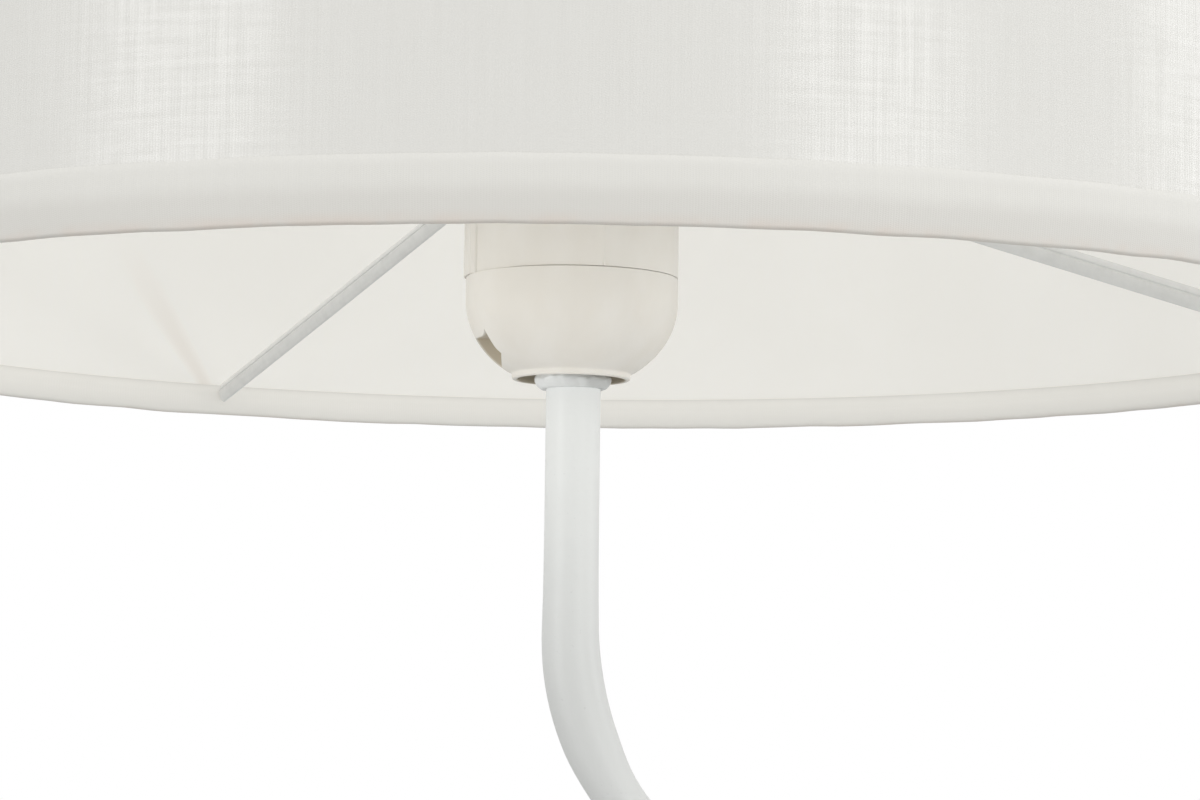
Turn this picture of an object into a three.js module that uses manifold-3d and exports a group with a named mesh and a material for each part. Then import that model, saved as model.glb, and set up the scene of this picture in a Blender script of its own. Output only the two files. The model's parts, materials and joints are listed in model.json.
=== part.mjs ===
// Tripod floor lamp: a bent steel tube carries an E27 lampholder and a drum shade, and runs
// down into one leg. The other two legs are one arched tube, gripped by a cross clamp under
// the shoulder of the first. Millimetres, +Z up, floor at z = 0.
import * as THREE from 'three';
import { mergeVertices } from 'three/addons/utils/BufferGeometryUtils.js';
import Module from 'manifold-3d';

const wasm = await Module();
wasm.setup();

// ---------------------------------------------------------------- driving dimensions
const gap = 0.3; // between pieces that touch

const hemHeight = 1180; // the shade's lower edge above the floor
const footCircle = 260; // the lamp's axis to each foot, on the floor
const legAngles = [0, 120, 240]; // degrees round the lamp's axis; the first is the stem's own leg

const tubeRadius = 5;
const tubeWall = 1;
const collarDrop = 7.8; // underside of the collar below the hem
const collarRadius = tubeRadius + 2.1;
const collarHeight = 2.3;
const stemVertical = 43.8; // straight tube from the collar to the first bend
const shoulderBend = 55; // centreline radius of both bends in the stem
const shoulderAngle = 40; // degrees from vertical between the two bends
const tailLength = 60; // straight tube past the last bend, down to the first joint

const crownBend = 45; // centreline radius where the arched tube turns down

const clampSize = 2 * (tubeRadius + 8); // across each face
const clampCorner = 3;
const shoulderPlay = 6; // straight stem showing past each end of the clamp
const crownPlay = 1; // and straight crown
const clampCover = 3.6; // metal outside each tube
const clampBridge = 2.6; // metal between the two tubes
const clampSplit = 1; // the slit that the screws draw together
const shoulderStraight = clampSize + 2 * shoulderPlay;
const crownHalfFlat = clampSize / 2 + crownPlay; // half of the crown's flat top
const screwRadius = 2;
const screwHeadRadius = 3.5;
const screwHeadHeight = 4;
const nutRadius = 4;
const nutHeight = 3.2;

const studBore = 2.6;
const studLength = 26;

const footRadius = tubeRadius + 3;
const footTopRadius = tubeRadius + 1.8;
const footHeight = 26;
const footSole = 6; // rubber under the end of the tube

const grommetHeight = 55; // up the leg from the floor
const grommetHole = 3;
const grommetFlange = 4.2;
const grommetBore = 1.9;

const shadeRadius = 156.2; // outside of the cloth
const shadeHeight = 210;
const clothThickness = 0.5;
const liningThickness = 0.8;
const tapeThickness = 0.5;
const tapeOutside = 10; // how high the hem tape reaches on the cloth
const tapeInside = 6.3; // and on the lining
const wireRadius = 1.5;

const armAngles = [10.5, 120.2, 246];
const armHeight = 4.4;
const armThickness = 1.8;
const armInnerRise = 37.4; // the arm's middle above the hem, at the fitter ring
const armOuterRise = 4.3; // and at the hem
const fitterThickness = 1.5;

const capRadius = 19.45; // lampholder
const capDepth = 16; // the bowl's half height
const capCentre = 8.3; // height above the hem where the bowl is widest
const capSeam = 12.6;
const capWall = 2;
const rimBore = collarRadius + 2.65;
const rimRadius = rimBore + 1.1;
const rimBottom = -6;
const rimLip = 1.1;
const capFloorBottom = -3;
const capFloorTop = -1;
const bodyRadius = capRadius - 0.45;
const threadRadius = capRadius + 0.35;
const threadStart = 28;
const bodyTop = 50;
const socketFloor = 22;
const blockRadius = bodyRadius - 3.2;
const blockNeck = blockRadius - 2.8;
const blockBottom = 9;
const shadeRingRadius = threadRadius + 7;
const fitterBore = threadRadius + 0.6;
const fitterRadius = shadeRingRadius + 1.7;
const shadeRingHeight = 3;
const padAngle = 62; // degrees of the raised pad beside the latch window
const padCentreAngle = 180;
const windowAngle = 197;
const windowWidth = 6;
const windowBottom = -4.2;
const windowTop = 3.2;

const globeRadius = 30;
const bulbLength = 108; // from the tip contact to the top of the globe
const shellRadius = 13.2;
const socketRadius = shellRadius + 0.7;
const shellLength = 23;
const insulatorLength = 3;
const tipRadius = 4.5;
const tipThickness = 1.2;

const degreesPerStep = 12; // round a bend
const tubeFacets = 16;
const boreFacets = 12;
const holderFacets = 28;
const shadeFacets = 36;

// ---------------------------------------------------------------- finishes and helpers
const finishes = {
  white_powder_coat: { color: 0xe2e5e7, roughness: 0.45, metalness: 0 },
  white_plastic: { color: 0xe4e1d8, roughness: 0.4, metalness: 0 },
  shade_cloth: { color: 0xecece8, roughness: 0.6, metalness: 0 },
  shade_lining: { color: 0xf1f0ea, roughness: 0.5, metalness: 0 },
  hem_tape: { color: 0xe9e8e4, roughness: 0.8, metalness: 0 },
  white_painted_wire: { color: 0xdfe1e2, roughness: 0.4, metalness: 0 },
  zinc_steel: { color: 0xb9bbbd, roughness: 0.35, metalness: 1 },
  brass: { color: 0xc9a24a, roughness: 0.3, metalness: 1 },
  ceramic: { color: 0xe8e6de, roughness: 0.35, metalness: 0 },
  white_rubber: { color: 0xd8d8d6, roughness: 0.8, metalness: 0 },
  black_glass: { color: 0x18181a, roughness: 0.2, metalness: 0 },
  opal_glass: { color: 0xf4f3ee, roughness: 0.25, metalness: 0 },
};

const radians = THREE.MathUtils.degToRad;
const lamp = new THREE.Group();

function place(name, geometry, finish, parent = lamp) {
  const mesh = new THREE.Mesh(geometry, new THREE.MeshStandardMaterial(finishes[finish]));
  mesh.name = name;
  parent.add(mesh);
  return mesh;
}

function toSolid(geometry) {
  const bare = new THREE.BufferGeometry();
  bare.setAttribute('position', geometry.getAttribute('position').clone());
  if (geometry.index) bare.setIndex(geometry.index.clone());
  const merged = mergeVertices(bare, 1e-4);
  const vertProperties = merged.attributes.position.array;
  const triVerts = new Uint32Array(merged.index.array);
  return new wasm.Manifold(new wasm.Mesh({ numProp: 3, vertProperties, triVerts }));
}

function toGeometry(solid) {
  const mesh = solid.getMesh();
  const geometry = new THREE.BufferGeometry();
  geometry.setAttribute('position', new THREE.BufferAttribute(mesh.vertProperties, 3));
  geometry.setIndex(new THREE.BufferAttribute(mesh.triVerts, 1));
  return geometry;
}

function cut(geometry, ...tools) {
  const solid = tools.reduce((rest, tool) => rest.subtract(toSolid(tool)), toSolid(geometry));
  return toGeometry(solid);
}

// A solid of revolution about Z. The profile lists [radius, height] with the outside going up.
function turned(profile, facets, closed = true) {
  const points = profile.map(([radius, height]) => new THREE.Vector2(radius, height));
  if (closed) points.push(points[0].clone());
  return new THREE.LatheGeometry(points, facets).rotateX(Math.PI / 2);
}

function ringOf(inner, outer, bottom, top, facets) {
  return turned([[inner, bottom], [outer, bottom], [outer, top], [inner, top]], facets);
}

// A closed cylinder about Z, from one height to another.
function rod(radius, bottom, top, facets) {
  const geometry = new THREE.CylinderGeometry(radius, radius, top - bottom, facets);
  return geometry.rotateX(Math.PI / 2).translate(0, 0, (top + bottom) / 2);
}

function polygon(radius, facets) {
  return Array.from({ length: facets }, (_, i) => {
    const angle = (2 * Math.PI * i) / facets;
    return new THREE.Vector2(radius * Math.cos(angle), radius * Math.sin(angle));
  });
}

function tubeSection(outer, inner, outerFacets, innerFacets) {
  const section = new THREE.Shape(polygon(outer, outerFacets));
  section.holes.push(new THREE.Path(polygon(inner, innerFacets)));
  return section;
}

// A path whose stations are met exactly: one at each end of a straight, several round a bend.
class BentLine extends THREE.Curve {
  constructor(stations) {
    super();
    this.stations = stations;
  }
  getPointAt(u, target = new THREE.Vector3()) {
    return target.copy(this.stations[Math.round(u * (this.stations.length - 1))].point);
  }
  getPoint(u, target) {
    return this.getPointAt(u, target);
  }
  getTangentAt(u, target = new THREE.Vector3()) {
    return target.copy(this.stations[Math.round(u * (this.stations.length - 1))].tangent);
  }
  getTangent(u, target) {
    return this.getTangentAt(u, target);
  }
}

// Walks a path in a plane: `ahead` is where heading 0 points, `aside` where heading 90 points.
function bendPath(start, ahead, aside, heading, moves) {
  const tangentAt = (degrees) =>
    ahead.clone().multiplyScalar(Math.cos(radians(degrees)))
      .addScaledVector(aside, Math.sin(radians(degrees)));
  const stations = [{ point: start.clone(), tangent: tangentAt(heading) }];
  let point = start.clone();
  for (const { straight, bend, radius } of moves) {
    if (straight !== undefined) {
      point = point.clone().addScaledVector(tangentAt(heading), straight);
      stations.push({ point, tangent: tangentAt(heading) });
      continue;
    }
    const steps = Math.max(2, Math.ceil(Math.abs(bend) / degreesPerStep));
    const chord = 2 * radius * Math.sin(radians(Math.abs(bend) / steps) / 2);
    for (let i = 0; i < steps; i += 1) {
      point = point.clone().addScaledVector(tangentAt(heading + bend / steps / 2), chord);
      heading += bend / steps;
      stations.push({ point, tangent: tangentAt(heading) });
    }
  }
  return stations;
}

function sweptTube(stations) {
  const section = tubeSection(tubeRadius, tubeRadius - tubeWall, tubeFacets, boreFacets);
  return new THREE.ExtrudeGeometry(section, {
    steps: stations.length - 1,
    extrudePath: new BentLine(stations),
  });
}

function straightTube(length) {
  const section = tubeSection(tubeRadius, tubeRadius - tubeWall, tubeFacets, boreFacets);
  return new THREE.ExtrudeGeometry(section, { depth: length, bevelEnabled: false });
}

const up = new THREE.Vector3(0, 0, 1);
const down = new THREE.Vector3(0, 0, -1);
const sideways = new THREE.Vector3(0, 1, 0);

function aim(mesh, point, direction) {
  mesh.position.copy(point);
  mesh.quaternion.setFromUnitVectors(up, direction);
}

function footPoint(index) {
  const angle = radians(legAngles[index]);
  return new THREE.Vector3(footCircle * Math.cos(angle), footCircle * Math.sin(angle), 0);
}

// ---------------------------------------------------------------- stem: the bent main tube
const stemTop = hemHeight + blockBottom - 4;
const bendStart = hemHeight - collarDrop - stemVertical;

function stemMoves(splay) {
  return [
    { straight: stemTop - bendStart },
    { bend: shoulderAngle, radius: shoulderBend },
    { straight: shoulderStraight },
    { bend: splay - shoulderAngle, radius: shoulderBend },
    { straight: tailLength },
  ];
}

const outward = new THREE.Vector3(1, 0, 0);
const stemStart = new THREE.Vector3(0, 0, stemTop);

// The splay that brings the leg's axis down on its foot.
function stemSplay() {
  let splay = 12;
  for (let i = 0; i < 40; i += 1) {
    const end = bendPath(stemStart, down, outward, 0, stemMoves(splay)).at(-1).point;
    splay = THREE.MathUtils.radToDeg(Math.atan2(footPoint(0).x - end.x, end.z));
  }
  return splay;
}

const splay = stemSplay();
const stemPath = bendPath(stemStart, down, outward, 0, stemMoves(splay));
place('stem_tube', sweptTube(stemPath), 'white_powder_coat');

// The collar is a bead round the tube that the lampholder sits on.
const collar = [
  [tubeRadius + gap, 0],
  [collarRadius - 0.8, 0],
  [collarRadius, 0.8],
  [collarRadius, collarHeight - 0.6],
  [collarRadius - 0.7, collarHeight],
  [tubeRadius + gap, collarHeight],
];
place('stem_collar', turned(collar, 20), 'white_powder_coat').position.z = hemHeight - collarDrop;

// ---------------------------------------------------------------- crown: the arched tube
const shoulder = bendPath(stemStart, down, outward, 0, stemMoves(splay).slice(0, 2)).at(-1);
const clampCentre = shoulder.point.clone().addScaledVector(shoulder.tangent, shoulderStraight / 2);
const tubeSpacing = 2 * (tubeRadius + gap) + clampBridge;
const archward = new THREE.Vector3(shoulder.tangent.z, 0, -shoulder.tangent.x);
const apex = clampCentre.clone().addScaledVector(archward, tubeSpacing);

const foldAxisToFoot = new THREE.Vector2(footPoint(1).x - apex.x, -apex.z);
const archDown = new THREE.Vector3(foldAxisToFoot.x, 0, foldAxisToFoot.y).normalize();

// The angle each arched leg leans sideways in the arch's own plane.
function archLean() {
  let lean = 9;
  for (let i = 0; i < 40; i += 1) {
    const across = footPoint(1).y - crownHalfFlat - crownBend * Math.cos(radians(lean));
    const drop = foldAxisToFoot.length() - crownBend * (1 - Math.sin(radians(lean)));
    lean = THREE.MathUtils.radToDeg(Math.atan2(across, drop));
  }
  return lean;
}

const lean = archLean();
const halfCrown = bendPath(apex, sideways, archDown, 0, [
  { straight: crownHalfFlat },
  { bend: 90 - lean, radius: crownBend },
  { straight: tailLength },
]);
const mirrored = (v) => new THREE.Vector3(v.x, -v.y, v.z);
const crownPath = [
  ...halfCrown.slice(1).reverse().map(({ point, tangent }) => ({
    point: mirrored(point),
    tangent: mirrored(tangent).negate(),
  })),
  ...halfCrown.slice(1),
];
place('crown_tube', sweptTube(crownPath), 'white_powder_coat');

// ---------------------------------------------------------------- legs, joint studs and feet
const studRadius = (tubeRadius - tubeWall) * Math.cos(Math.PI / boreFacets) - gap;
const stud = ringOf(studBore, studRadius, -studLength / 2, studLength / 2, 10);

function rubberFoot(direction) {
  const profile = [
    [0, -footRadius],
    [footRadius, -footRadius],
    [footRadius, footHeight * 0.45],
    [footTopRadius, footHeight],
    [tubeRadius + gap, footHeight],
    [tubeRadius + gap, footSole - gap],
    [0, footSole - gap],
  ];
  const foot = turned(profile, tubeFacets, false);
  foot.applyQuaternion(new THREE.Quaternion().setFromUnitVectors(up, direction));
  const belowFloor = new THREE.BoxGeometry(60, 60, 30).translate(0, 0, -15);
  return cut(foot, belowFloor);
}

function grommetFrame(alongLeg) {
  const inward = new THREE.Vector3(-alongLeg.z, 0, alongLeg.x);
  return { inward, turn: new THREE.Quaternion().setFromUnitVectors(up, inward) };
}

function addLeg(number, top, direction) {
  const foot = footPoint(number - 1);
  const upLeg = direction.clone().negate();
  const length = top.distanceTo(foot);
  const middle = top.clone().addScaledVector(direction, length / 2);

  const upper = straightTube(length / 2 - gap);
  const upperEnd = top.clone().addScaledVector(direction, gap);
  aim(place(`leg_${number}_middle_tube`, upper, 'white_powder_coat'), upperEnd, direction);
  const lowerLength = length / 2 - gap - footSole;
  let lower = straightTube(lowerLength).translate(0, 0, footSole);
  if (number === 1) {
    const hole = rod(grommetHole, 0, 2 * tubeRadius, 12);
    hole.applyQuaternion(new THREE.Quaternion().setFromUnitVectors(up, outward.clone().negate()));
    lower = cut(lower, hole.translate(0, 0, grommetHeight));
  }
  aim(place(`leg_${number}_lower_tube`, lower, 'white_powder_coat'), foot, upLeg);
  aim(place(`leg_${number}_upper_stud`, stud.clone(), 'zinc_steel'), top, direction);
  aim(place(`leg_${number}_lower_stud`, stud.clone(), 'zinc_steel'), middle, direction);
  place(`foot_${number}`, rubberFoot(upLeg), 'white_rubber').position.copy(foot);
}

const stemEnd = stemPath.at(-1);
addLeg(1, stemEnd.point, stemEnd.tangent);
const crownEnd = halfCrown.at(-1);
addLeg(2, crownEnd.point, crownEnd.tangent);
addLeg(3, mirrored(crownEnd.point), mirrored(crownEnd.tangent));

// The bush that the mains lead leaves by, low on the inner side of the first leg.
const upFirstLeg = stemEnd.tangent.clone().negate();
const { inward, turn } = grommetFrame(upFirstLeg);
const grommetProfile = [
  [grommetBore, tubeRadius - 1.4],
  [grommetHole - gap, tubeRadius - 1.4],
  [grommetHole - gap, tubeRadius + gap],
  [grommetFlange, tubeRadius + gap],
  [grommetFlange - 0.5, tubeRadius + 1.6],
  [grommetBore, tubeRadius + 1.6],
];
const grommet = place('cable_grommet', turned(grommetProfile, 14), 'white_rubber');
grommet.quaternion.copy(turn);
grommet.position.copy(footPoint(0)).addScaledVector(upFirstLeg, grommetHeight);

// ---------------------------------------------------------------- cross clamp
// Its own frame: X runs down the stem, Z points away from the crown, which lies along Y.
const clamp = new THREE.Group();
clamp.position.copy(clampCentre);
clamp.rotation.y = radians(90 - shoulderAngle);
lamp.add(clamp);

const grooveRadius = tubeRadius + gap + 0.05;
const stemGroove = () => rod(grooveRadius, -clampSize, clampSize, 24).rotateY(Math.PI / 2);
const crownGroove = () => rod(grooveRadius, -clampSize, clampSize, 24).rotateX(Math.PI / 2)
  .translate(0, 0, -tubeSpacing);
const screwOffset = (clampSize / 2 + grooveRadius) / 2;
const screwSpots = [[screwOffset, screwOffset], [-screwOffset, -screwOffset]];
const clampTop = tubeRadius + gap + clampCover;
const clampBottom = -tubeSpacing - clampTop;

function clampBlock(bottom, top, ...grooves) {
  const half = clampSize / 2;
  const face = new THREE.Shape();
  for (const [quarter, x, y] of [[0, 1, 1], [1, -1, 1], [2, -1, -1], [3, 1, -1]]) {
    const start = (quarter * Math.PI) / 2;
    const centre = half - clampCorner;
    face.absarc(x * centre, y * centre, clampCorner, start, start + Math.PI / 2);
  }
  const depth = top - bottom;
  const block = new THREE.ExtrudeGeometry(face, { depth, bevelEnabled: false, curveSegments: 3 });
  const holes = screwSpots.map(([x, y]) =>
    rod(screwRadius + gap, bottom - 1, top + 1, 10).translate(x, y, 0));
  return cut(block.translate(0, 0, bottom), ...grooves, ...holes);
}

const split = clampSplit / 2;
place('clamp_stem_jaw', clampBlock(split, clampTop, stemGroove()), 'white_powder_coat', clamp);
const bridge = clampBlock(split - tubeSpacing, -split, stemGroove(), crownGroove());
place('clamp_bridge', bridge, 'white_powder_coat', clamp);
const crownJaw = clampBlock(clampBottom, -split - tubeSpacing, crownGroove());
place('clamp_crown_jaw', crownJaw, 'white_powder_coat', clamp);

screwSpots.forEach(([x, y], i) => {
  const headBottom = clampTop + gap;
  const tip = clampBottom - gap - nutHeight - 1;
  const screwProfile = [
    [0, tip],
    [screwRadius, tip],
    [screwRadius, headBottom],
    [screwHeadRadius, headBottom],
    [screwHeadRadius, headBottom + screwHeadHeight],
    [0, headBottom + screwHeadHeight],
  ];
  const hexSocket = rod(1.7, headBottom + screwHeadHeight / 2, headBottom + screwHeadHeight + 1, 6);
  const screw = cut(turned(screwProfile, 12, false), hexSocket);
  place(`clamp_screw_${i + 1}`, screw, 'zinc_steel', clamp).position.set(x, y, 0);
  const nutTop = clampBottom - gap;
  const nutBore = rod(screwRadius + gap, nutTop - nutHeight - 1, nutTop + 1, 12);
  const nut = cut(rod(nutRadius, nutTop - nutHeight, nutTop, 6), nutBore);
  place(`clamp_nut_${i + 1}`, nut, 'zinc_steel', clamp).position.set(x, y, 0);
});

// ---------------------------------------------------------------- lampholder
const holder = new THREE.Group();
holder.position.z = hemHeight;
lamp.add(holder);

function bowl(radius, depth, fromHeight, toHeight, steps) {
  return Array.from({ length: steps + 1 }, (_, i) => {
    const height = fromHeight + ((toHeight - fromHeight) * i) / steps;
    return [radius * Math.sqrt(1 - ((capCentre - height) / depth) ** 2), height];
  });
}

const bowlBottom = rimBottom + rimLip;
const outerBowl = bowl(capRadius, capDepth, bowlBottom, capCentre, 7);
const innerBowl = bowl(capRadius - capWall, capDepth - capWall, capCentre, capFloorTop, 4);
const capProfile = [
  [rimBore, rimBottom],
  [rimRadius, rimBottom],
  [rimRadius, bowlBottom],
  ...outerBowl,
  [capRadius, capSeam],
  [capRadius - capWall, capSeam],
  ...innerBowl,
  [tubeRadius + gap, capFloorTop],
  [tubeRadius + gap, capFloorBottom],
  [rimBore, capFloorBottom],
];
const latchWindow = new THREE.BoxGeometry(12, windowWidth, windowTop - windowBottom)
  .translate(capRadius - 1, 0, (windowTop + windowBottom) / 2)
  .rotateZ(radians(windowAngle));
place('lampholder_cap', cut(turned(capProfile, holderFacets), latchWindow), 'white_plastic', holder);

const bodyBottom = capSeam + gap;
const bodyProfile = [
  [blockRadius + gap, bodyBottom],
  [bodyRadius, bodyBottom],
  [bodyRadius, threadStart],
  [threadRadius, threadStart],
  [threadRadius, bodyTop],
  [socketRadius, bodyTop],
  [socketRadius, socketFloor + gap],
  [blockRadius + gap, socketFloor + gap],
];
const padShape = new THREE.Shape();
const padStart = radians(padCentreAngle - padAngle / 2);
const padEnd = radians(padCentreAngle + padAngle / 2);
padShape.absarc(0, 0, capRadius + 0.35, padStart, padEnd, false);
padShape.absarc(0, 0, bodyRadius - 1, padEnd, padStart, true);
const pad = new THREE.ExtrudeGeometry(padShape, {
  depth: threadStart - 2 - bodyBottom,
  bevelEnabled: false,
  curveSegments: 6,
}).translate(0, 0, bodyBottom);
const body = toSolid(turned(bodyProfile, holderFacets)).add(toSolid(pad));
place('lampholder_body', toGeometry(body), 'white_plastic', holder);

const nutHex = rod(tubeRadius + 3, capFloorTop + gap, capFloorTop + gap + 3, 6);
place('stem_locknut', cut(nutHex, rod(tubeRadius + gap, -10, 10, 16)), 'zinc_steel', holder);

const terminalX = 8.5;
const terminalScrew = 1.8;
const terminalHead = 3;
const blockProfile = [
  [0, blockBottom],
  [blockNeck, blockBottom],
  [blockNeck, bodyBottom],
  [blockRadius, bodyBottom + 2],
  [blockRadius, socketFloor],
  [0, socketFloor],
];
const terminals = [terminalX, -terminalX];
const terminalHoles = terminals.map((x) =>
  rod(terminalScrew + gap, blockBottom - 1, blockBottom + 5, 10).translate(x, 0, 0));
place('terminal_block', cut(turned(blockProfile, 20, false), ...terminalHoles), 'ceramic', holder);
terminals.forEach((x, i) => {
  const screwProfile = [
    [0, blockBottom - gap - 1.5],
    [terminalHead, blockBottom - gap - 1.5],
    [terminalHead, blockBottom - gap],
    [terminalScrew, blockBottom - gap],
    [terminalScrew, blockBottom + 4],
    [0, blockBottom + 4],
  ];
  const screw = turned(screwProfile, 10, false);
  place(`terminal_screw_${i + 1}`, screw, 'brass', holder).position.x = x;
});

// Both contacts are bent strips: a foot on the block and a springy tongue.
function contactStrip(outline, width) {
  const strip = new THREE.Shape(outline.map(([x, y]) => new THREE.Vector2(x, y)));
  const geometry = new THREE.ExtrudeGeometry(strip, { depth: width, bevelEnabled: false });
  return geometry.translate(0, 0, -width / 2).rotateX(Math.PI / 2);
}

const stripThickness = 0.6;
const contactBase = socketFloor + gap;
const tipBottom = contactBase + 2.6;
const centreTongue = [
  [-8, contactBase],
  [-3, contactBase],
  [4, tipBottom - gap - stripThickness],
  [4, tipBottom - gap],
  [-3.4, contactBase + stripThickness],
  [-8, contactBase + stripThickness],
];
place('centre_contact', contactStrip(centreTongue, 4), 'brass', holder);
const sideX = socketRadius - 2.5;
const sideTongue = [
  [sideX - 2.8, contactBase],
  [sideX, contactBase],
  [sideX + 1.2, contactBase + 3],
  [sideX + 0.7, contactBase + 3.2],
  [sideX - 0.4, contactBase + stripThickness],
  [sideX - 2.8, contactBase + stripThickness],
];
place('side_contact', contactStrip(sideTongue, 4), 'brass', holder);

const fitterBottom = armInnerRise - fitterThickness / 2;
const fitterTop = armInnerRise + fitterThickness / 2;
const threadClear = threadRadius + gap;
const lowerTop = fitterBottom - gap;
const lowerRing = ringOf(threadClear, shadeRingRadius, lowerTop - shadeRingHeight, lowerTop, holderFacets);
place('shade_ring_lower', lowerRing, 'white_plastic', holder);
const upperBottom = fitterTop + gap;
const upperRing = [
  [threadClear, upperBottom],
  [shadeRingRadius, upperBottom],
  [shadeRingRadius, upperBottom + shadeRingHeight],
  [threadRadius + 3, upperBottom + 2 * shadeRingHeight],
  [threadClear, upperBottom + 2 * shadeRingHeight],
];
place('shade_ring_upper', turned(upperRing, holderFacets), 'white_plastic', holder);

// ---------------------------------------------------------------- bulb
place('bulb_tip_contact', rod(tipRadius, tipBottom, tipBottom + tipThickness, 14), 'zinc_steel', holder);
const insulatorBottom = tipBottom + tipThickness + gap;
const shellBottom = insulatorBottom + insulatorLength;
const insulator = [
  [0, insulatorBottom],
  [tipRadius + 0.5, insulatorBottom],
  [shellRadius - 2, shellBottom],
  [0, shellBottom],
];
place('bulb_insulator', turned(insulator, 18, false), 'black_glass', holder);
const shellTop = shellBottom + gap + shellLength;
place('bulb_screw_shell', rod(shellRadius, shellBottom + gap, shellTop, 20), 'zinc_steel', holder);
const globeTop = tipBottom + bulbLength;
const globeCentre = globeTop - globeRadius;
const globeCut = globeCentre - globeRadius * 0.45;
const housingTopRadius = globeRadius * Math.sqrt(1 - 0.45 ** 2) - 0.6;
const housing = [
  [0, shellTop + gap],
  [shellRadius + 0.6, shellTop + gap],
  [shellRadius + 1.6, shellTop + 6],
  [housingTopRadius, globeCut - gap],
  [0, globeCut - gap],
];
place('bulb_housing', turned(housing, 20, false), 'white_plastic', holder);
const globeSteps = 7;
const globeProfile = [[0, globeCut]];
for (let i = 0; i <= globeSteps; i += 1) {
  const start = Math.asin(-0.45);
  const angle = start + ((Math.PI / 2 - start) * i) / globeSteps;
  const radius = i === globeSteps ? 0 : globeRadius * Math.cos(angle);
  globeProfile.push([radius, globeCentre + globeRadius * Math.sin(angle)]);
}
place('bulb_globe', turned(globeProfile, 20, false), 'opal_glass', holder);

// ---------------------------------------------------------------- shade
const shade = new THREE.Group();
shade.position.z = hemHeight;
lamp.add(shade);

const clothInner = shadeRadius - clothThickness;
const liningOuter = clothInner - gap;
const liningInner = liningOuter - liningThickness;
const wireCircle = (clothInner + liningOuter) / 2;
const rollInner = wireRadius + gap + 0.05;
const rollOuter = rollInner + tapeThickness;
const panelBottom = 2 * rollOuter - 0.1;
const panelTop = shadeHeight - panelBottom;
const panel = (inner, outer) => ringOf(inner, outer, panelBottom, panelTop, shadeFacets);
place('shade_lining', panel(liningInner, liningOuter), 'shade_lining', shade);
place('shade_cloth', panel(clothInner, shadeRadius), 'shade_cloth', shade);

const rollSteps = 4;

// The tape's section: up the lining, round under the wire, and up the cloth.
function tapeProfile() {
  const arc = (radius, steps) => Array.from({ length: steps + 1 }, (_, i) => {
    const angle = Math.PI + (Math.PI * i) / steps;
    return [wireCircle + radius * Math.cos(angle), rollOuter + radius * Math.sin(angle)];
  });
  const outside = shadeRadius + gap;
  const inside = liningInner - gap;
  return [
    [inside - tapeThickness, tapeInside],
    [inside - tapeThickness, panelBottom - 0.6],
    ...arc(rollOuter, rollSteps),
    [outside + tapeThickness, panelBottom - 0.6],
    [outside + tapeThickness, tapeOutside],
    [outside, tapeOutside],
    [outside, panelBottom - 0.6],
    ...arc(rollInner, rollSteps).reverse(),
    [inside, panelBottom - 0.6],
    [inside, tapeInside],
  ];
}

const bottomTape = tapeProfile();
const topTape = bottomTape.map(([radius, height]) => [radius, shadeHeight - height]).reverse();
place('hem_tape_bottom', turned(bottomTape, shadeFacets), 'hem_tape', shade);
place('hem_tape_top', turned(topTape, shadeFacets), 'hem_tape', shade);

const wire = new THREE.TorusGeometry(wireCircle, wireRadius, 6, shadeFacets);
place('wire_ring_bottom', wire, 'white_painted_wire', shade).position.z = rollOuter;
place('wire_ring_top', wire.clone(), 'white_painted_wire', shade).position.z = shadeHeight - rollOuter;

const fitter = ringOf(fitterBore, fitterRadius, fitterBottom, fitterTop, holderFacets);
place('spider_fitter_ring', fitter, 'white_painted_wire', shade);

const armStart = fitterRadius + gap + 0.2;
const flatOfFacet = Math.cos(Math.PI / shadeFacets); // a facet's middle lies this much nearer the axis
const armEnd = (wireCircle - rollOuter) * flatOfFacet - gap;
const armSection = new THREE.Shape();
armSection.absellipse(0, 0, armHeight / 2, armThickness / 2, 0, 2 * Math.PI, false, 0);
armAngles.forEach((angle, i) => {
  const slope = new THREE.Vector3(armEnd - armStart, 0, armOuterRise - armInnerRise);
  const arm = new THREE.ExtrudeGeometry(armSection, {
    depth: slope.length(),
    bevelEnabled: false,
    curveSegments: 6,
  });
  arm.rotateY(Math.atan2(slope.x, slope.z));
  arm.translate(armStart, 0, armInnerRise);
  arm.rotateZ(radians(angle));
  place(`spider_arm_${i + 1}`, arm, 'white_painted_wire', shade);
});

// ---------------------------------------------------------------- the part's own frame
// The origin is on the floor, midway between the lamp's furthest points left and right.
const extent = new THREE.Box3().setFromObject(lamp);
lamp.position.x = -(extent.min.x + extent.max.x) / 2;

const part = new THREE.Group();
part.add(lamp);

export default part;
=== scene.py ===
# %% [markdown]
# # A tripod floor lamp with a drum shade
#
# A white steel tube carries a plastic lampholder and a drum shade of satin cloth. The tube
# bends sideways under the lampholder and runs down into one leg. The other two legs are a
# single arched tube, held by a cross clamp.
#
# The lamp's working model is loaded first. It has the right sizes and it knows what moves,
# but its faces are coarse. Every piece that can be seen is then made again with a fine
# surface, in the same place, and is told which moving body it belongs to.

# %% Load the working model
import json
import math

import bmesh
import bpy
from mathutils import Matrix, Vector, noise


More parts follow.
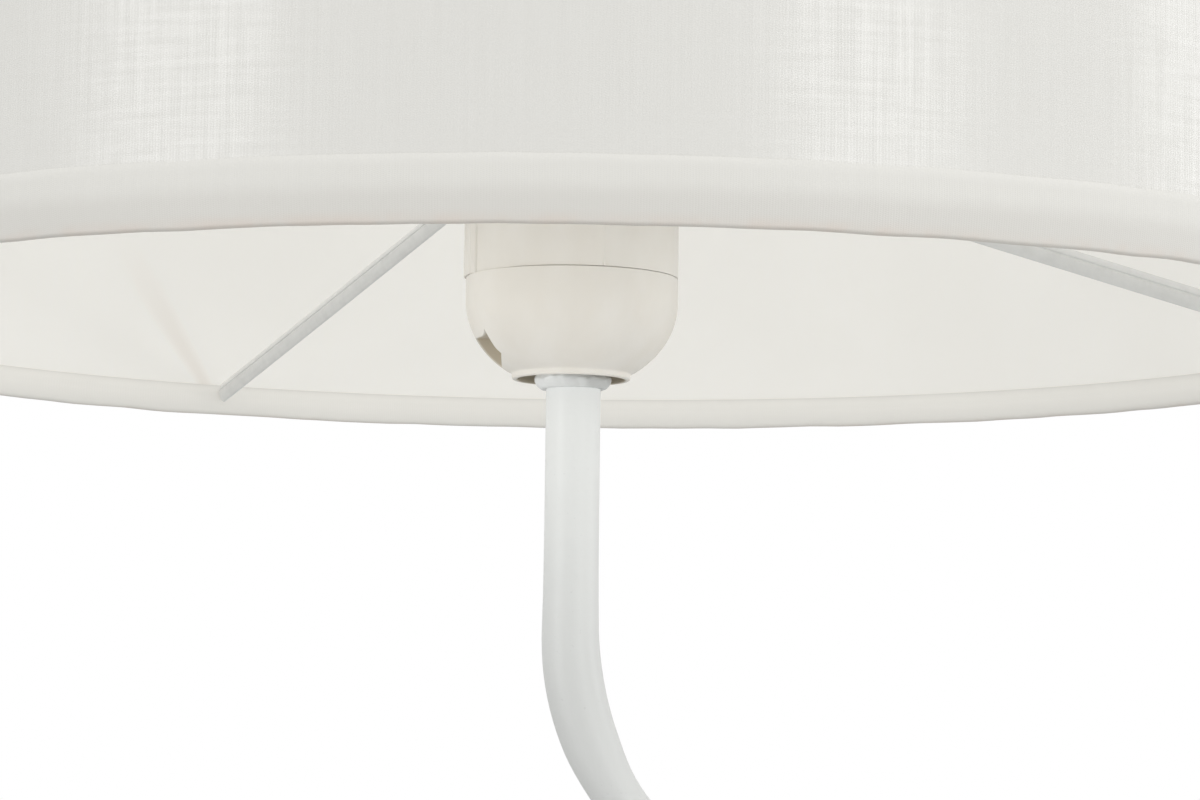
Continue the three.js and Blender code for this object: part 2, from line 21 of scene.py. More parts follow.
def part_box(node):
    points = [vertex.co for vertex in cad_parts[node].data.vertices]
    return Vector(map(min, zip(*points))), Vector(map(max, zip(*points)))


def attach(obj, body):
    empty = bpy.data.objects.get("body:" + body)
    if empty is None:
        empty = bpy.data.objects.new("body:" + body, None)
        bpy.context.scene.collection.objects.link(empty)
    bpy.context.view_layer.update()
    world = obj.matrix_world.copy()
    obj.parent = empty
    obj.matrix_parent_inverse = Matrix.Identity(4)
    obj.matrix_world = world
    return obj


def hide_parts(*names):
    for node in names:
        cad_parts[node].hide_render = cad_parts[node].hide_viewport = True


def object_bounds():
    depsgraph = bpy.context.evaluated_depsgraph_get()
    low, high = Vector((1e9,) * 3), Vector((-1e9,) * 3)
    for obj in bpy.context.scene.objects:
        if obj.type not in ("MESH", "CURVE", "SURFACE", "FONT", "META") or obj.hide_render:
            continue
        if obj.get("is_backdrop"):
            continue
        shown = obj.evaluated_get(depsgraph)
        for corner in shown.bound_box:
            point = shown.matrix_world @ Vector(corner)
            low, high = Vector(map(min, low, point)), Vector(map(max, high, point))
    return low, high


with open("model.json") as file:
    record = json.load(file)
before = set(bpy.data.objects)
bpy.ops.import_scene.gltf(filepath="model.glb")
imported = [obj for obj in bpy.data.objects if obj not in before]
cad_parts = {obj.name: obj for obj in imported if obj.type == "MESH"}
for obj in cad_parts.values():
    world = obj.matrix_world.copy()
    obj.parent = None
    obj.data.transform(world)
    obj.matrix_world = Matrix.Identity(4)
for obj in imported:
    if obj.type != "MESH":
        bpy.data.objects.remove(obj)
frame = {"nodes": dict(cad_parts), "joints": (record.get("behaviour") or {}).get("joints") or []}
cad_low, cad_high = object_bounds()
scene = bpy.context.scene

# %% [markdown]
# ## Measuring the working model
#
# This script thinks in millimetres, as a workshop drawing does, and turns them into metres
# only when a mesh is made. The places of the main pieces are read from the working model's
# boxes, so the fine pieces follow it if it changes. The lamp's own upright axis doesn't go
# through the origin: it passes through the middle of the collar.

# %% Read the main sizes
MM = 0.001


def box_mm(node):
    low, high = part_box(node)
    return low / MM, high / MM


def middle(node):
    low, high = box_mm(node)
    return (low + high) / 2


def outer_radius(node):
    low, high = box_mm(node)
    return max(high.x - low.x, high.y - low.y) / 2


def span(node):
    """How far above the lower hem a node's bottom and top are."""
    low, high = box_mm(node)
    return low.z - hem, high.z - hem


axis_x = middle("stem_collar").x
hem = box_mm("hem_tape_bottom")[0].z
shade_top = box_mm("hem_tape_top")[1].z
cloth_radius = outer_radius("shade_cloth")
tube_radius = 5.0
tube_bore = 4.0
gap = 0.3
cap_radius = outer_radius("lampholder_cap")
cap_depth = 16  # the lampholder's cap is half an ellipsoid this deep
cap_centre = 8.3  # and it is widest at this height above the hem
cap_slip = 0.45  # it sits a little off the tube's middle
window_floor = -13.1  # the cap's latch window is cut this far, from the tube's middle
rim_bore = 9.75
print(f"lamp axis at x = {axis_x:.1f}, hem {hem:.0f} and shade top {shade_top:.0f} mm up")

# %% [markdown]
# ## The camera
#
# A long lens close under the shade: it stands a little below the hem and looks slightly
# up, so the inside of the shade, the lampholder and the first bend of the tube fill the
# frame. The camera is rolled by less than a degree, as a hand-set tripod is.

# %% Place the camera
camera_offset = Vector((4.9, -728.0, -84.3))  # from the lamp's axis at the hem
camera_pitch = 5.86
camera_roll = 0.67

camera_data = bpy.data.cameras.new("camera")
camera_data.lens = 120
camera_data.sensor_width = 36
camera_data.clip_start = 0.05
camera = bpy.data.objects.new("camera", camera_data)
scene.collection.objects.link(camera)
camera.location = (Vector((axis_x, 0, hem)) + camera_offset) * MM
tilt = Matrix.Rotation(math.radians(90 + camera_pitch), 4, "X")
roll = Matrix.Rotation(math.radians(camera_roll), 4, "Z")
camera.rotation_euler = (tilt @ roll).to_euler()
scene.camera = camera
print("camera at", tuple(round(c, 3) for c in camera.location))

# %% [markdown]
# ## Sums written as sums
#
# A material's pattern is arithmetic on numbers that vary over a surface. Blender does it
# with Math nodes. The small class below stands for one output of a node, and its operators
# add the Math nodes, so a pattern reads like the formula that it is.

# %% A value that varies over a surface
class Value:
    def __init__(self, finish, socket):
        self.finish = finish
        self.socket = socket

    def maths(self, operation, *operands):
        settings = {"operation": operation}
        return self.finish.node("ShaderNodeMath", settings, dict(enumerate(operands)))

    def __add__(self, other):
        return self.maths("ADD", self, other)

    def __radd__(self, other):
        return self.maths("ADD", other, self)

    def __sub__(self, other):
        return self.maths("SUBTRACT", self, other)

    def __rsub__(self, other):
        return self.maths("SUBTRACT", other, self)

    def __mul__(self, other):
        return self.maths("MULTIPLY", self, other)

    def __rmul__(self, other):
        return self.maths("MULTIPLY", other, self)

    def __truediv__(self, other):
        return self.maths("DIVIDE", self, other)

    def __pow__(self, power):
        return self.maths("POWER", self, power)

    def __abs__(self):
        return self.maths("ABSOLUTE", self)

    def wave(self):
        """A smooth wave from 0 to 1 that repeats each time the value grows by one."""
        return self.maths("SINE", self * (2 * math.pi)) * 0.5 + 0.5

    def ramp(self, start, end):
        """0 up to start, 1 past end, and a smooth rise between them."""
        settings = {"interpolation_type": "SMOOTHSTEP", "clamp": True}
        return self.finish.node("ShaderNodeMapRange", settings, {0: self, 1: start, 2: end})


# %% [markdown]
# ## A finish
#
# Each finish is one material around Blender's Principled shader. Numbers that are the same
# all over are set on the shader itself. Only colour, roughness, gloss and bump get a
# pattern. Patterns are laid out in the object's own millimetres, so a thread or a grain is
# as large on a small piece as on a big one.

# %% The finish class
class Nodes:
    def __init__(self, tree):
        self.tree = tree

    def node(self, kind, settings=None, sockets=None, output=0):
        made = self.tree.nodes.new(kind)
        for key, value in (settings or {}).items():
            setattr(made, key, value)
        for key, value in (sockets or {}).items():
            if isinstance(value, Value):
                self.tree.links.new(value.socket, made.inputs[key])
            else:
                made.inputs[key].default_value = value
        return Value(self, made.outputs[output]) if made.outputs else None


class Finish(Nodes):
    def __init__(self, name, uniform):
        self.material = bpy.data.materials.new(name)
        self.material.use_nodes = True
        super().__init__(self.material.node_tree)
        self.shader = self.tree.nodes["Principled BSDF"]
        for socket, value in uniform.items():
            self.shader.inputs[socket].default_value = value
        metres = self.node("ShaderNodeTexCoord", output="Object")
        scale = {"operation": "SCALE"}
        self.here = self.node("ShaderNodeVectorMath", scale, {0: metres, "Scale": 1 / MM})

    def xyz(self):
        parts = self.node("ShaderNodeSeparateXYZ", sockets={0: self.here})
        split = parts.socket.node
        return [Value(self, split.outputs[i]) for i in range(3)]

    def noise(self, size, detail=2.0, at=None):
        """Soft blotches about this many millimetres across, from 0 to 1."""
        sockets = {"Vector": at or self.here, "Scale": 1 / size, "Detail": detail}
        return self.node("ShaderNodeTexNoise", sockets=sockets)

    def stretched(self, along_x, along_y, along_z):
        """The place on the piece with each direction divided by a length of its own."""
        lengths = Vector((1 / along_x, 1 / along_y, 1 / along_z))
        settings = {"operation": "MULTIPLY"}
        return self.node("ShaderNodeVectorMath", settings, {0: self.here, 1: lengths})

    def mix(self, first, second, share):
        def full(colour):
            return colour if isinstance(colour, Value) else (*colour, 1)

        settings = {"data_type": "RGBA"}
        sockets = {0: share, 6: full(first), 7: full(second)}
        return self.node("ShaderNodeMix", settings, sockets, output=2)

    def set(self, socket, value):
        self.tree.links.new(value.socket, self.shader.inputs[socket])

    def bump(self, height, depth, strength=1.0):
        """Raises the surface by height times depth, in millimetres."""
        sockets = {"Height": height, "Distance": depth * MM, "Strength": strength}
        self.set("Normal", self.node("ShaderNodeBump", sockets=sockets))


# %% [markdown]
# ## Powder coat
#
# The tubes and the clamp are powder coated: dry powder baked into a hard satin skin. It
# has a very faint orange peel, and it is never one even white, because the coat is a
# little thinner in some places. Two sizes of noise give both.

# %% White powder coat
def powder_coat():
    uniform = {"Specular IOR Level": 0.45, "Coat Weight": 0.12, "Coat Roughness": 0.25}
    coat = Finish("white_powder_coat", uniform)
    blotch = coat.noise(22, detail=3)
    speck = coat.noise(0.8, detail=4).ramp(0.66, 0.74)
    white = coat.mix((0.655, 0.668, 0.66), (0.705, 0.716, 0.709), blotch)
    coat.set("Base Color", coat.mix(white, (0.55, 0.56, 0.56), speck * 0.35))
    coat.set("Roughness", coat.noise(9) * 0.16 + 0.36)
    coat.bump(coat.noise(1.3, detail=3), depth=0.05, strength=0.6)
    return coat.material


# %% [markdown]
# ## Moulded plastics
#
# The lampholder is injection moulded in a warm white. The mould gives it a soft gloss and
# faint flow marks, and the cap's latch window and the inside of its rim are painted darker
# as shade. The bulb's housing and the terminal block are made the same way with other
# colours, so one function makes all three.

# %% Moulded plastic
def painted_hollow_shade(plastic):
    """1 in the cap's latch window and inside its rim, the recesses that get painted shade."""
    x, y, z = plastic.xyz()
    height = z - hem
    away = ((x - axis_x + cap_slip) ** 2 + y**2) ** 0.5
    outside = (1 - ((cap_centre - height) / cap_depth) ** 2) ** 0.5 * cap_radius
    window = 1 - (x - axis_x).ramp(window_floor - 0.2, window_floor + 0.1)
    window = (1 - (away - outside).ramp(-0.55, -0.1)) * window
    under_rim = (1 - away.ramp(rim_bore + 0.05, rim_bore + 0.45)) * (1 - height.ramp(-3.6, -1.2))
    return window * (1 - height.ramp(2.5, 3.0)) + under_rim


def moulded(name, colour, shadow, roughness, grain, with_hollow_shade=False):
    uniform = {"Specular IOR Level": 0.35, "Subsurface Weight": 0.04}
    plastic = Finish(name, uniform)
    plastic.shader.inputs["Subsurface Radius"].default_value = (0.002, 0.0015, 0.001)
    plastic.shader.inputs["Subsurface Scale"].default_value = 1.0
    flow = plastic.noise(7, detail=3, at=plastic.stretched(1, 1, 2.2))
    skin_colour = plastic.mix(shadow, colour, flow.ramp(0.25, 0.75))
    if with_hollow_shade:
        # painted shade: the latch window and the inside of the rim are darkened to a deep tan
        skin_colour = plastic.mix(skin_colour, (0.45, 0.40, 0.315), painted_hollow_shade(plastic))
    plastic.set("Base Color", skin_colour)
    plastic.set("Roughness", plastic.noise(3, detail=3) * 0.12 + roughness)
    plastic.bump(plastic.noise(0.5, detail=2), depth=grain, strength=0.5)
    return plastic.material


# %% [markdown]
# ## Satin cloth
#
# The shade is a satin: most of the thread that you see runs over several others before it
# dives under, so it catches the light in long soft streaks. The threads are counted round
# the drum and up it, so the weave needs no unwrapped map. Gloss is a thin coat whose
# strength follows the threads, which gives the fine sparkle.
#
# The hem tape is the same weave. Near its end, where it rolls under the wire, it is painted
# darker as shade, glue has stained its very edge, and its inner side is painted lighter and
# glows faintly, as painted light through the drum.

# %% Woven cloth
def woven(name, bright, dull, gloss, thread, stain_and_painted_light=0.0):
    uniform = {"Roughness": 0.62, "Specular IOR Level": 0.22, "Coat IOR": 1.85}
    cloth = Finish(name, uniform | {"Coat Roughness": 0.22, "Sheen Weight": 0.05})
    x, y, z = cloth.xyz()
    turn = cloth.node("ShaderNodeMath", {"operation": "ARCTAN2"}, {0: y, 1: x - axis_x})
    across = turn * cloth_radius
    wander = cloth.noise(6, detail=2) * 0.5
    warp = (across / thread + wander).wave()
    weft = (z / (thread * 0.72) + (across / (thread * 2)).wave() * 0.5).wave()
    slub_place = cloth.node("ShaderNodeCombineXYZ", sockets={0: across / 0.9, 2: z / 26})
    slub = cloth.noise(1.0, detail=3, at=slub_place)
    pick_place = cloth.node("ShaderNodeCombineXYZ", sockets={0: across / 12, 2: z / 1.1})
    pick = cloth.noise(1.0, detail=2, at=pick_place)
    ply = warp * 0.4 + weft * 0.4 + pick * 0.2
    tone = cloth.mix(dull, bright, (slub * 0.5 + ply * 0.5).ramp(0.2, 0.8))
    if stain_and_painted_light:
        drum_middle = (hem + shade_top) / 2
        from_end = shade_top - drum_middle - abs(z - drum_middle)
        # painted shade: the tape is darkened near its end, where it rolls under the wire
        painted_roll_shade = 1 - (from_end + cloth.noise(9) * 1.5).ramp(4.6, 7.4)
        tone = cloth.mix(tone, (0.69, 0.675, 0.64), painted_roll_shade * 0.62)
        small = cloth.noise(5, detail=4).ramp(0.35, 0.65)
        blotch = small * 0.6 + cloth.noise(30).ramp(0.4, 0.6) * 0.4
        glue = (1 - from_end.ramp(0.1, 2.4)) * (blotch * 0.95 + 0.05) * stain_and_painted_light
        tone = cloth.mix(tone, (0.71, 0.60, 0.525), glue)
        # painted light: the tape's inner side is made lighter and glows faintly, for light through the drum
        away = ((x - axis_x) ** 2 + y**2) ** 0.5
        inside = 1 - away.ramp(cloth_radius - 2.6, cloth_radius - 1.4)
        tone = cloth.mix(tone, (0.86, 0.85, 0.815), inside)
        cloth.set("Emission Color", cloth.mix((0, 0, 0), (1, 0.97, 0.93), inside))
        cloth.shader.inputs["Emission Strength"].default_value = 0.07
    cloth.set("Base Color", tone)
    sparkle = (slub * 0.6 + pick * 0.4).ramp(0.33, 0.67) * 0.5 + ply.ramp(0.25, 0.75) * 0.5
    cloth.set("Coat Weight", sparkle * gloss)
    cloth.bump(ply, depth=0.05, strength=0.35)
    return cloth.material


# %% [markdown]
# ## The lining
#
# Behind the cloth is a sheet of smooth plastic that keeps the drum round. It is warmer and
# smoother than the cloth, with slow, faint clouds, and one painted shadow of an arm of the
# spider. A little of the room's light comes through the drum's wall. A very weak emission
# stands for it, because real light through four thin skins takes far more samples.

# %% Plastic lining
ARM_SHADOW_ANGLE = 121  # degrees round the drum where the painted arm shadow starts
ARM_SHADOW_HEIGHT = 5  # above the hem
ARM_SHADOW_SLOPE = math.radians(54)


def around_and_up(finish):
    """How many radians round the drum a place is, and its height."""
    x, y, z = finish.xyz()
    return finish.node("ShaderNodeMath", {"operation": "ARCTAN2"}, {0: y, 1: x - axis_x}), z


def painted_arm_shadow(sheet):
    """A faint slanting painted shadow of one spider arm, from where the arm meets the lining."""
    turn, z = around_and_up(sheet)
    along = (turn - math.radians(ARM_SHADOW_ANGLE)) * cloth_radius
    up = z - (hem + ARM_SHADOW_HEIGHT)
    length = along * math.cos(ARM_SHADOW_SLOPE) + up * math.sin(ARM_SHADOW_SLOPE)
    aside = abs(along * math.sin(ARM_SHADOW_SLOPE) - up * math.cos(ARM_SHADOW_SLOPE))
    spread = 1 - (aside / (length * 0.07 + 1.3)).ramp(0.2, 1.5)
    return spread * length.ramp(-2, 3) * (1 - length.ramp(8, 44))


def lining_sheet():
    glow = {"Emission Color": (1.0, 0.97, 0.92, 1), "Emission Strength": 0.12}
    sheet = Finish("shade_lining", {"Specular IOR Level": 0.35} | glow)
    cloud = sheet.noise(45, detail=3).ramp(0.3, 0.7)
    fibre = sheet.noise(1.6, detail=3, at=sheet.stretched(1, 1, 3))
    base = sheet.mix((0.88, 0.874, 0.849), (0.905, 0.90, 0.877), cloud)
    base = sheet.mix(base, (0.87, 0.86, 0.82), fibre * 0.35)
    # painted shadow: a spider arm's shadow is painted on the lining in a darker tan
    sheet.set("Base Color", sheet.mix(base, (0.74, 0.68, 0.62), painted_arm_shadow(sheet) * 0.42))
    sheet.set("Roughness", sheet.noise(14) * 0.15 + 0.45)
    sheet.bump(sheet.noise(3.0, detail=3), depth=0.03, strength=0.4)
    return sheet.material


# %% [markdown]
# ## Metals, rubber and glass
#
# Small fittings are zinc plated steel, brass strip or rolled nickel: a full metallic shader
# whose roughness is streaked by handling. Rubber is matt with a fine speckle. The opal globe
# lets a little light in before it scatters. The spider is thin wire under thin paint, which
# a fine noise darkens where it pulls back.

# %% Metal, rubber, glass and opal
def plated(name, colour, worn, roughness):
    metal = Finish(name, {"Metallic": 1.0, "Specular IOR Level": 0.5})
    rub = metal.noise(1.0, detail=4, at=metal.stretched(0.5, 0.5, 6))
    metal.set("Base Color", metal.mix(colour, worn, metal.noise(2.5, detail=3).ramp(0.4, 0.75)))
    metal.set("Roughness", rub * 0.25 + roughness)
    metal.bump(rub, depth=0.012, strength=0.5)
    return metal.material


def rubber():
    soft = Finish("white_rubber", {"Specular IOR Level": 0.3})
    speck = soft.noise(0.6, detail=4)
    soft.set("Base Color", soft.mix((0.66, 0.66, 0.645), (0.75, 0.75, 0.735), speck))
    soft.set("Roughness", soft.noise(5) * 0.12 + 0.68)
    soft.bump(speck, depth=0.05, strength=0.5)
    return soft.material


def black_glass():
    glass = Finish("black_glass", {"Specular IOR Level": 0.6, "Coat Weight": 0.5})
    swirl = glass.noise(2, detail=3)
    glass.set("Base Color", glass.mix((0.012, 0.012, 0.016), (0.04, 0.04, 0.05), swirl))
    glass.set("Roughness", swirl * 0.15 + 0.12)
    return glass.material


def opal():
    uniform = {"Subsurface Weight": 0.3, "Specular IOR Level": 0.5, "Coat Weight": 0.25}
    globe = Finish("opal_globe", uniform)
    globe.shader.inputs["Subsurface Radius"].default_value = (0.006, 0.006, 0.005)
    globe.shader.inputs["Subsurface Scale"].default_value = 1.0
    milk = globe.noise(12, detail=3)
    globe.set("Base Color", globe.mix((0.86, 0.85, 0.82), (0.91, 0.905, 0.88), milk))
    globe.set("Roughness", milk * 0.1 + 0.3)
    return globe.material


def painted_wire():
    paint = Finish("white_painted_wire", {"Specular IOR Level": 0.5, "Coat Weight": 0.2})
    thin = paint.noise(2.2, detail=4).ramp(0.35, 0.8)
    paint.set("Base Color", paint.mix((0.81, 0.815, 0.805), (0.76, 0.765, 0.755), thin))
    paint.set("Roughness", paint.noise(4) * 0.15 + 0.34)
    paint.bump(paint.noise(0.9, detail=3), depth=0.02, strength=0.3)
    return paint.material


warm_white = (0.66, 0.64, 0.598)
finishes = {
    "white_powder_coat": powder_coat(),
    "white_painted_wire": painted_wire(),
    "holder_plastic": moulded(
        "holder_plastic", warm_white, (0.635, 0.61, 0.56), 0.55, 0.02, with_hollow_shade=True
    ),
    "bulb_plastic": moulded("bulb_plastic", (0.84, 0.84, 0.82), (0.80, 0.80, 0.78), 0.35, 0.015),
    "terminal_block": moulded("terminal_block", (0.80, 0.78, 0.73), (0.74, 0.72, 0.66), 0.55, 0.04),
    "shade_cloth": woven("shade_cloth", (0.745, 0.737, 0.703), (0.715, 0.707, 0.676), 1.0, 0.5),
    "hem_tape": woven("hem_tape", (0.745, 0.736, 0.70), (0.725, 0.716, 0.68), 0.1, 0.42, stain_and_painted_light=0.42),
    "shade_lining": lining_sheet(),
    "zinc_steel": plated("zinc_steel", (0.62, 0.63, 0.64), (0.50, 0.50, 0.49), 0.28),
    "bulb_shell": plated("bulb_shell", (0.72, 0.71, 0.69), (0.60, 0.59, 0.57), 0.22),
    "brass": plated("brass", (0.76, 0.56, 0.24), (0.58, 0.41, 0.17), 0.25),
    "white_rubber": rubber(),
    "black_glass": black_glass(),
    "opal_globe": opal(),
}
print(len(finishes), "finishes made")

# %% [markdown]
# ## Skins between rings
#
# Nearly every piece of this lamp is round: turned about an axis, or a tube bent along a
# line. Both are one idea: a row of rings of points with a skin of four-sided faces between
# them. A ring that shrinks to a point closes the end, and joining the last ring to the
# first makes a hollow piece. Points that fall together are merged, and the faces are all
# turned outwards.

# %% Make a mesh from rings
SHARP = math.radians(38)


def skin(name, rings, wrap=True):
    count = len(rings[0])
    points = [point * MM for ring in rings for point in ring]
    spans = len(rings) if wrap else len(rings) - 1
    faces = []
    for i in range(spans):
        here, there = i * count, (i + 1) % len(rings) * count
        for k in range(count):
            after = (k + 1) % count
            faces.append((here + k, here + after, there + after, there + k))
    mesh = bpy.data.meshes.new(name)
    mesh.from_pydata(points, [], faces)
    piece = bpy.data.objects.new(name, mesh)
    scene.collection.objects.link(piece)
    tidy_mesh(piece)
    return piece


def tidy_mesh(piece):
    work = bmesh.new()
    work.from_mesh(piece.data)
    bmesh.ops.remove_doubles(work, verts=work.verts, dist=2e-6)
    bmesh.ops.dissolve_degenerate(work, edges=work.edges, dist=1e-6)
    bmesh.ops.recalc_face_normals(work, faces=work.faces)
    for face in work.faces:
        face.smooth = True
    work.to_mesh(piece.data)
    work.free()
    piece.data.set_sharp_from_angle(angle=SHARP)


def show(piece, body, slot, *nodes):
    """Gives the piece its finish, its moving body and the rough nodes that it stands for."""
    piece.data.materials.clear()
    piece.data.materials.append(finishes[slot])
    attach(piece, body)
    if nodes:
        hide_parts(*nodes)
    return piece


# %% [markdown]
# ## Turned pieces
#
# A turned piece starts from half of its outline, given as distance from the axis and
# height. Real edges are never knife sharp, so each corner of the outline is rounded before
# it is spun. A relief function can raise or lower the surface at any angle and height,
# which is how ribs, threads and mould lines are made without a second mesh.

# %% Outlines and turning
def softened(corners, radius, closed=True, steps=4):
    """The outline with its corners rounded. A corner may carry its own radius as a third number."""
    line = []
    for i, corner in enumerate(corners):
        here = Vector(corner[:2])
        own = corner[2] if len(corner) > 2 else radius
        end_point = not closed and i in (0, len(corners) - 1)
        if end_point or own == 0:
            line.append(here)
            continue
        before = Vector(corners[i - 1][:2]) - here
        after = Vector(corners[(i + 1) % len(corners)][:2]) - here
        start = here + before.normalized() * min(own, before.length * 0.45)
        end = here + after.normalized() * min(own, after.length * 0.45)
        for k in range(steps + 1):
            s = k / steps
            line.append(start * (1 - s) ** 2 + here * 2 * s * (1 - s) + end * s * s)
    return line


def around(steps, *marks):
    """Angles in degrees round the axis: even steps, and closer ones beside each mark."""
    even = [360 * i / steps for i in range(steps)]
    close = [mark + off for mark in marks for off in (-1.2, -0.6, -0.2, 0.2, 0.6, 1.2)]
    kept = [a for a in even if all(abs(a - mark) > 1.3 for mark in marks)]
    return sorted(kept + close)


def turn_rings(outline, angles, centre=Vector((0, 0, 0)), relief=None):
    rings = []
    for reach, height in outline:
        ring = []
        for angle in angles:
            rise = relief(angle, reach, height) if relief and reach > 0 else 0
            a = math.radians(angle)
            side = Vector((math.cos(a), math.sin(a), 0)) * (reach + rise)
            ring.append(centre + side + Vector((0, 0, height)))
        rings.append(ring)
    return rings


def aimed(rings, origin, direction):
    """Turns rings made about the upright axis to lie about another one."""
    turn = Vector((0, 0, 1)).rotation_difference(direction).to_matrix()
    return [[origin + turn @ point for point in ring] for ring in rings]


at_hem = Vector((axis_x, 0, hem))


def lathe(name, outline, angles, body, slot, *nodes, relief=None, wrap=True):
    """Turns an outline about the lamp's upright axis and shows the piece."""
    rings = turn_rings(outline, angles, at_hem, relief)
    return show(skin(name, rings, wrap), body, slot, *nodes)

# %% [markdown]
# ## The drum
#
# The drum is cloth glued to a plastic lining, held by a steel ring at each end. A drum
# made by hand is never perfectly round, so every skin of it shares one small wobble. The
# cloth's two ends overlap in a glued lap, which is turned to the back.

# %% The shade's cloth and lining
panel_low, panel_high = span("shade_cloth")
cloth_gauge = 0.5
lining_outer = outer_radius("shade_lining")
lining_gauge = 0.8
lap_angle = 96  # at the back
lap_width = 3.2  # degrees
lap_ramp = 2.2  # degrees over which the upper end climbs on the lower one
lap_rise = 0.42


def wobble(angle):
    a = math.radians(angle)
    return 0.14 * math.sin(2 * a + 0.6) + 0.08 * math.sin(3 * a + 2.0)


def cloth_relief(angle, reach, height):
    rise = wobble(angle)
    past = angle - (lap_angle - lap_width)
    if reach > cloth_radius - 0.1 and 0 < past < lap_width:
        rise += lap_rise * min(1, past / lap_ramp)
    return rise


def level_steps(low, high, count):
    return [low + (high - low) * i / count for i in range(count + 1)]


def panel_outline(inner, outer, low, high):
    outside = [(outer, z) for z in level_steps(low, high, 14)]
    inside = [(inner, z) for z in reversed(level_steps(low, high, 14))]
    return outside + inside


drum_angles = around(240, lap_angle)
outline = panel_outline(cloth_radius - cloth_gauge, cloth_radius, panel_low, panel_high)
cloth = lathe(
    "shade_cloth_wrap", outline, drum_angles, "shade", "shade_cloth", "shade_cloth", relief=cloth_relief
)

outline = panel_outline(lining_outer - lining_gauge, lining_outer, panel_low, panel_high)

def lining_relief(angle, reach, height):
    return wobble(angle)


lathe(
    "shade_lining_sheet", outline, drum_angles, "shade", "shade_lining", "shade_lining", relief=lining_relief
)
around_drum = 2 * math.pi * cloth_radius * MM
cloth_flat = (panel_high - panel_low) * MM, around_drum + 0.009
print(f"cloth cut {cloth_flat[0]:.3f} by {cloth_flat[1]:.3f} m")

# %% [markdown]
# ## The hem
#
# At each end a strip of cloth is glued to the outside, rolled under the wire ring and
# glued again to the lining. It bulges softly over the wire. The strip is laid by hand, so
# its edge wanders by a quarter of a millimetre and its surface has soft lumps.

# %% The rolled hem tapes and their wires
tape_gauge = 0.5
tape_outside = 10.2
tape_inside = 6.3
wire_circle = cloth_radius - 1.1
wire_gauge = 0.85
roll_in = 1.75  # how far the roll reaches inwards from the wire's circle
tape_profile = [  # out from the wire's circle, height and how round
    (1.25, tape_outside, 0.2),
    (1.6, 9.3, 0.9),
    (1.78, 5.2, 1.8),
    (0.95, 0.25, 0.35),
    (0.4, 0.0, 0.4),
    (-1.1, 0.1, 1.0),
    (-roll_in, 2.2, 1.2),
    (-1.35, 5.0, 0.9),
    (-0.8, tape_inside, 0.2),
]


def tape_line(inset):
    """One face of the tape, from its edge on the cloth, round the wire, to its edge inside."""
    line = softened(tape_profile, 0.3, closed=False, steps=5)
    moved = []
    for i, point in enumerate(line):
        ahead = line[min(i + 1, len(line) - 1)] - line[max(i - 1, 0)]
        inward = Vector((ahead.y, -ahead.x)).normalized()
        edge = min(1, (i + 1) / 4, (len(line) - i) / 4)
        moved.append(point + inward * inset * (0.3 + 0.7 * edge))
    return moved


def tape_rings(foot, up):
    """Rings of one hem. foot is the hem's height above the lower hem and up is 1 or -1."""
    outside = tape_line(0.0)
    inside = tape_line(tape_gauge)
    angles = around(300)
    rings = []
    for off, height in outside + inside[::-1]:
        ring = []
        for angle in angles:
            a = math.radians(angle)
            spot = Vector((math.cos(a) * 9, math.sin(a) * 9, foot * 0.1))
            fine = Vector((math.cos(a) * 30, math.sin(a) * 30, height * 0.35 + foot))
            edge = max(0, abs(height - 5) - 2.0) / 5
            lump = noise.noise(fine) * 0.08 + noise.noise(spot) * 0.06
            level = height + noise.noise(spot * 1.7) * 0.4 * edge
            reach = wire_circle + off + wobble(angle) + math.copysign(lump, off)
            point = Vector((math.cos(a) * reach, math.sin(a) * reach, foot + up * level))
            ring.append(at_hem + point)
        rings.append(ring)
    return rings


def tape_flat():
    line = tape_line(tape_gauge / 2)
    width = sum(math.dist(line[i], line[i + 1]) for i in range(len(line) - 1))
    return width * MM, around_drum


drum_height = shade_top - hem
for end, foot, up in (("bottom", 0, 1), ("top", drum_height, -1)):
    tape = skin(f"hem_roll_{end}", tape_rings(foot, up))
    show(tape, "shade", "hem_tape", f"hem_tape_{end}")
    tape_flat()
    wire_height = middle(f"wire_ring_{end}").z - hem
    wire_round = [
        (wire_circle + wire_gauge * math.cos(a), wire_height + wire_gauge * math.sin(a))
        for a in (2 * math.pi * k / 12 for k in range(12))
    ]
    slot = "white_painted_wire"
    lathe(f"hem_wire_{end}", wire_round, around(180), "shade", slot, f"wire_ring_{end}")
print("tape cut {:.4f} m wide and {:.3f} m long".format(*tape_flat()))

# %% [markdown]
# ## The spider
#
# Three flattened wires run from the lower hem up to a ring that the lampholder's two
# threaded rings grip. Each wire is rolled with a blunt ridge along its upper part, so it
# shows a light band over a darker one. Its ends are rounded, and a small bead of weld
# joins it to the ring.

# %% The fitter ring and its three arms
fitter_low, fitter_high = span("spider_fitter_ring")
fitter_radius = outer_radius("spider_fitter_ring")
fitter_bore = fitter_radius - 8.1
corners = [
    (fitter_bore, fitter_low),
    (fitter_radius, fitter_low),
    (fitter_radius, fitter_high),
    (fitter_bore, fitter_high),
]
lathe(
    "spider_ring", softened(corners, 0.4), around(120), "shade", "white_painted_wire", "spider_fitter_ring"
)

arm_angles = [10.5, 120.2, 246]
arm_side = [  # across, up and how round: one flank, from the top down
    (0.62, 1.35, 0.3),
    (0.86, 0.72, 0.15),
    (0.62, 0.5, 0.12),
    (0.86, 0.22, 0.15),
    (0.74, -1.0, 0.5),
    (0.24, -2.15, 0.25),
]
arm_section = [(0.0, 2.2, 0.3)] + arm_side
arm_section += [(-across, rise, size) for across, rise, size in reversed(arm_side)]
arm_start = Vector((fitter_radius - 1.0, 0, (fitter_low + fitter_high) / 2))
arm_end = Vector((wire_circle - roll_in - 0.3, 0, 4.3))


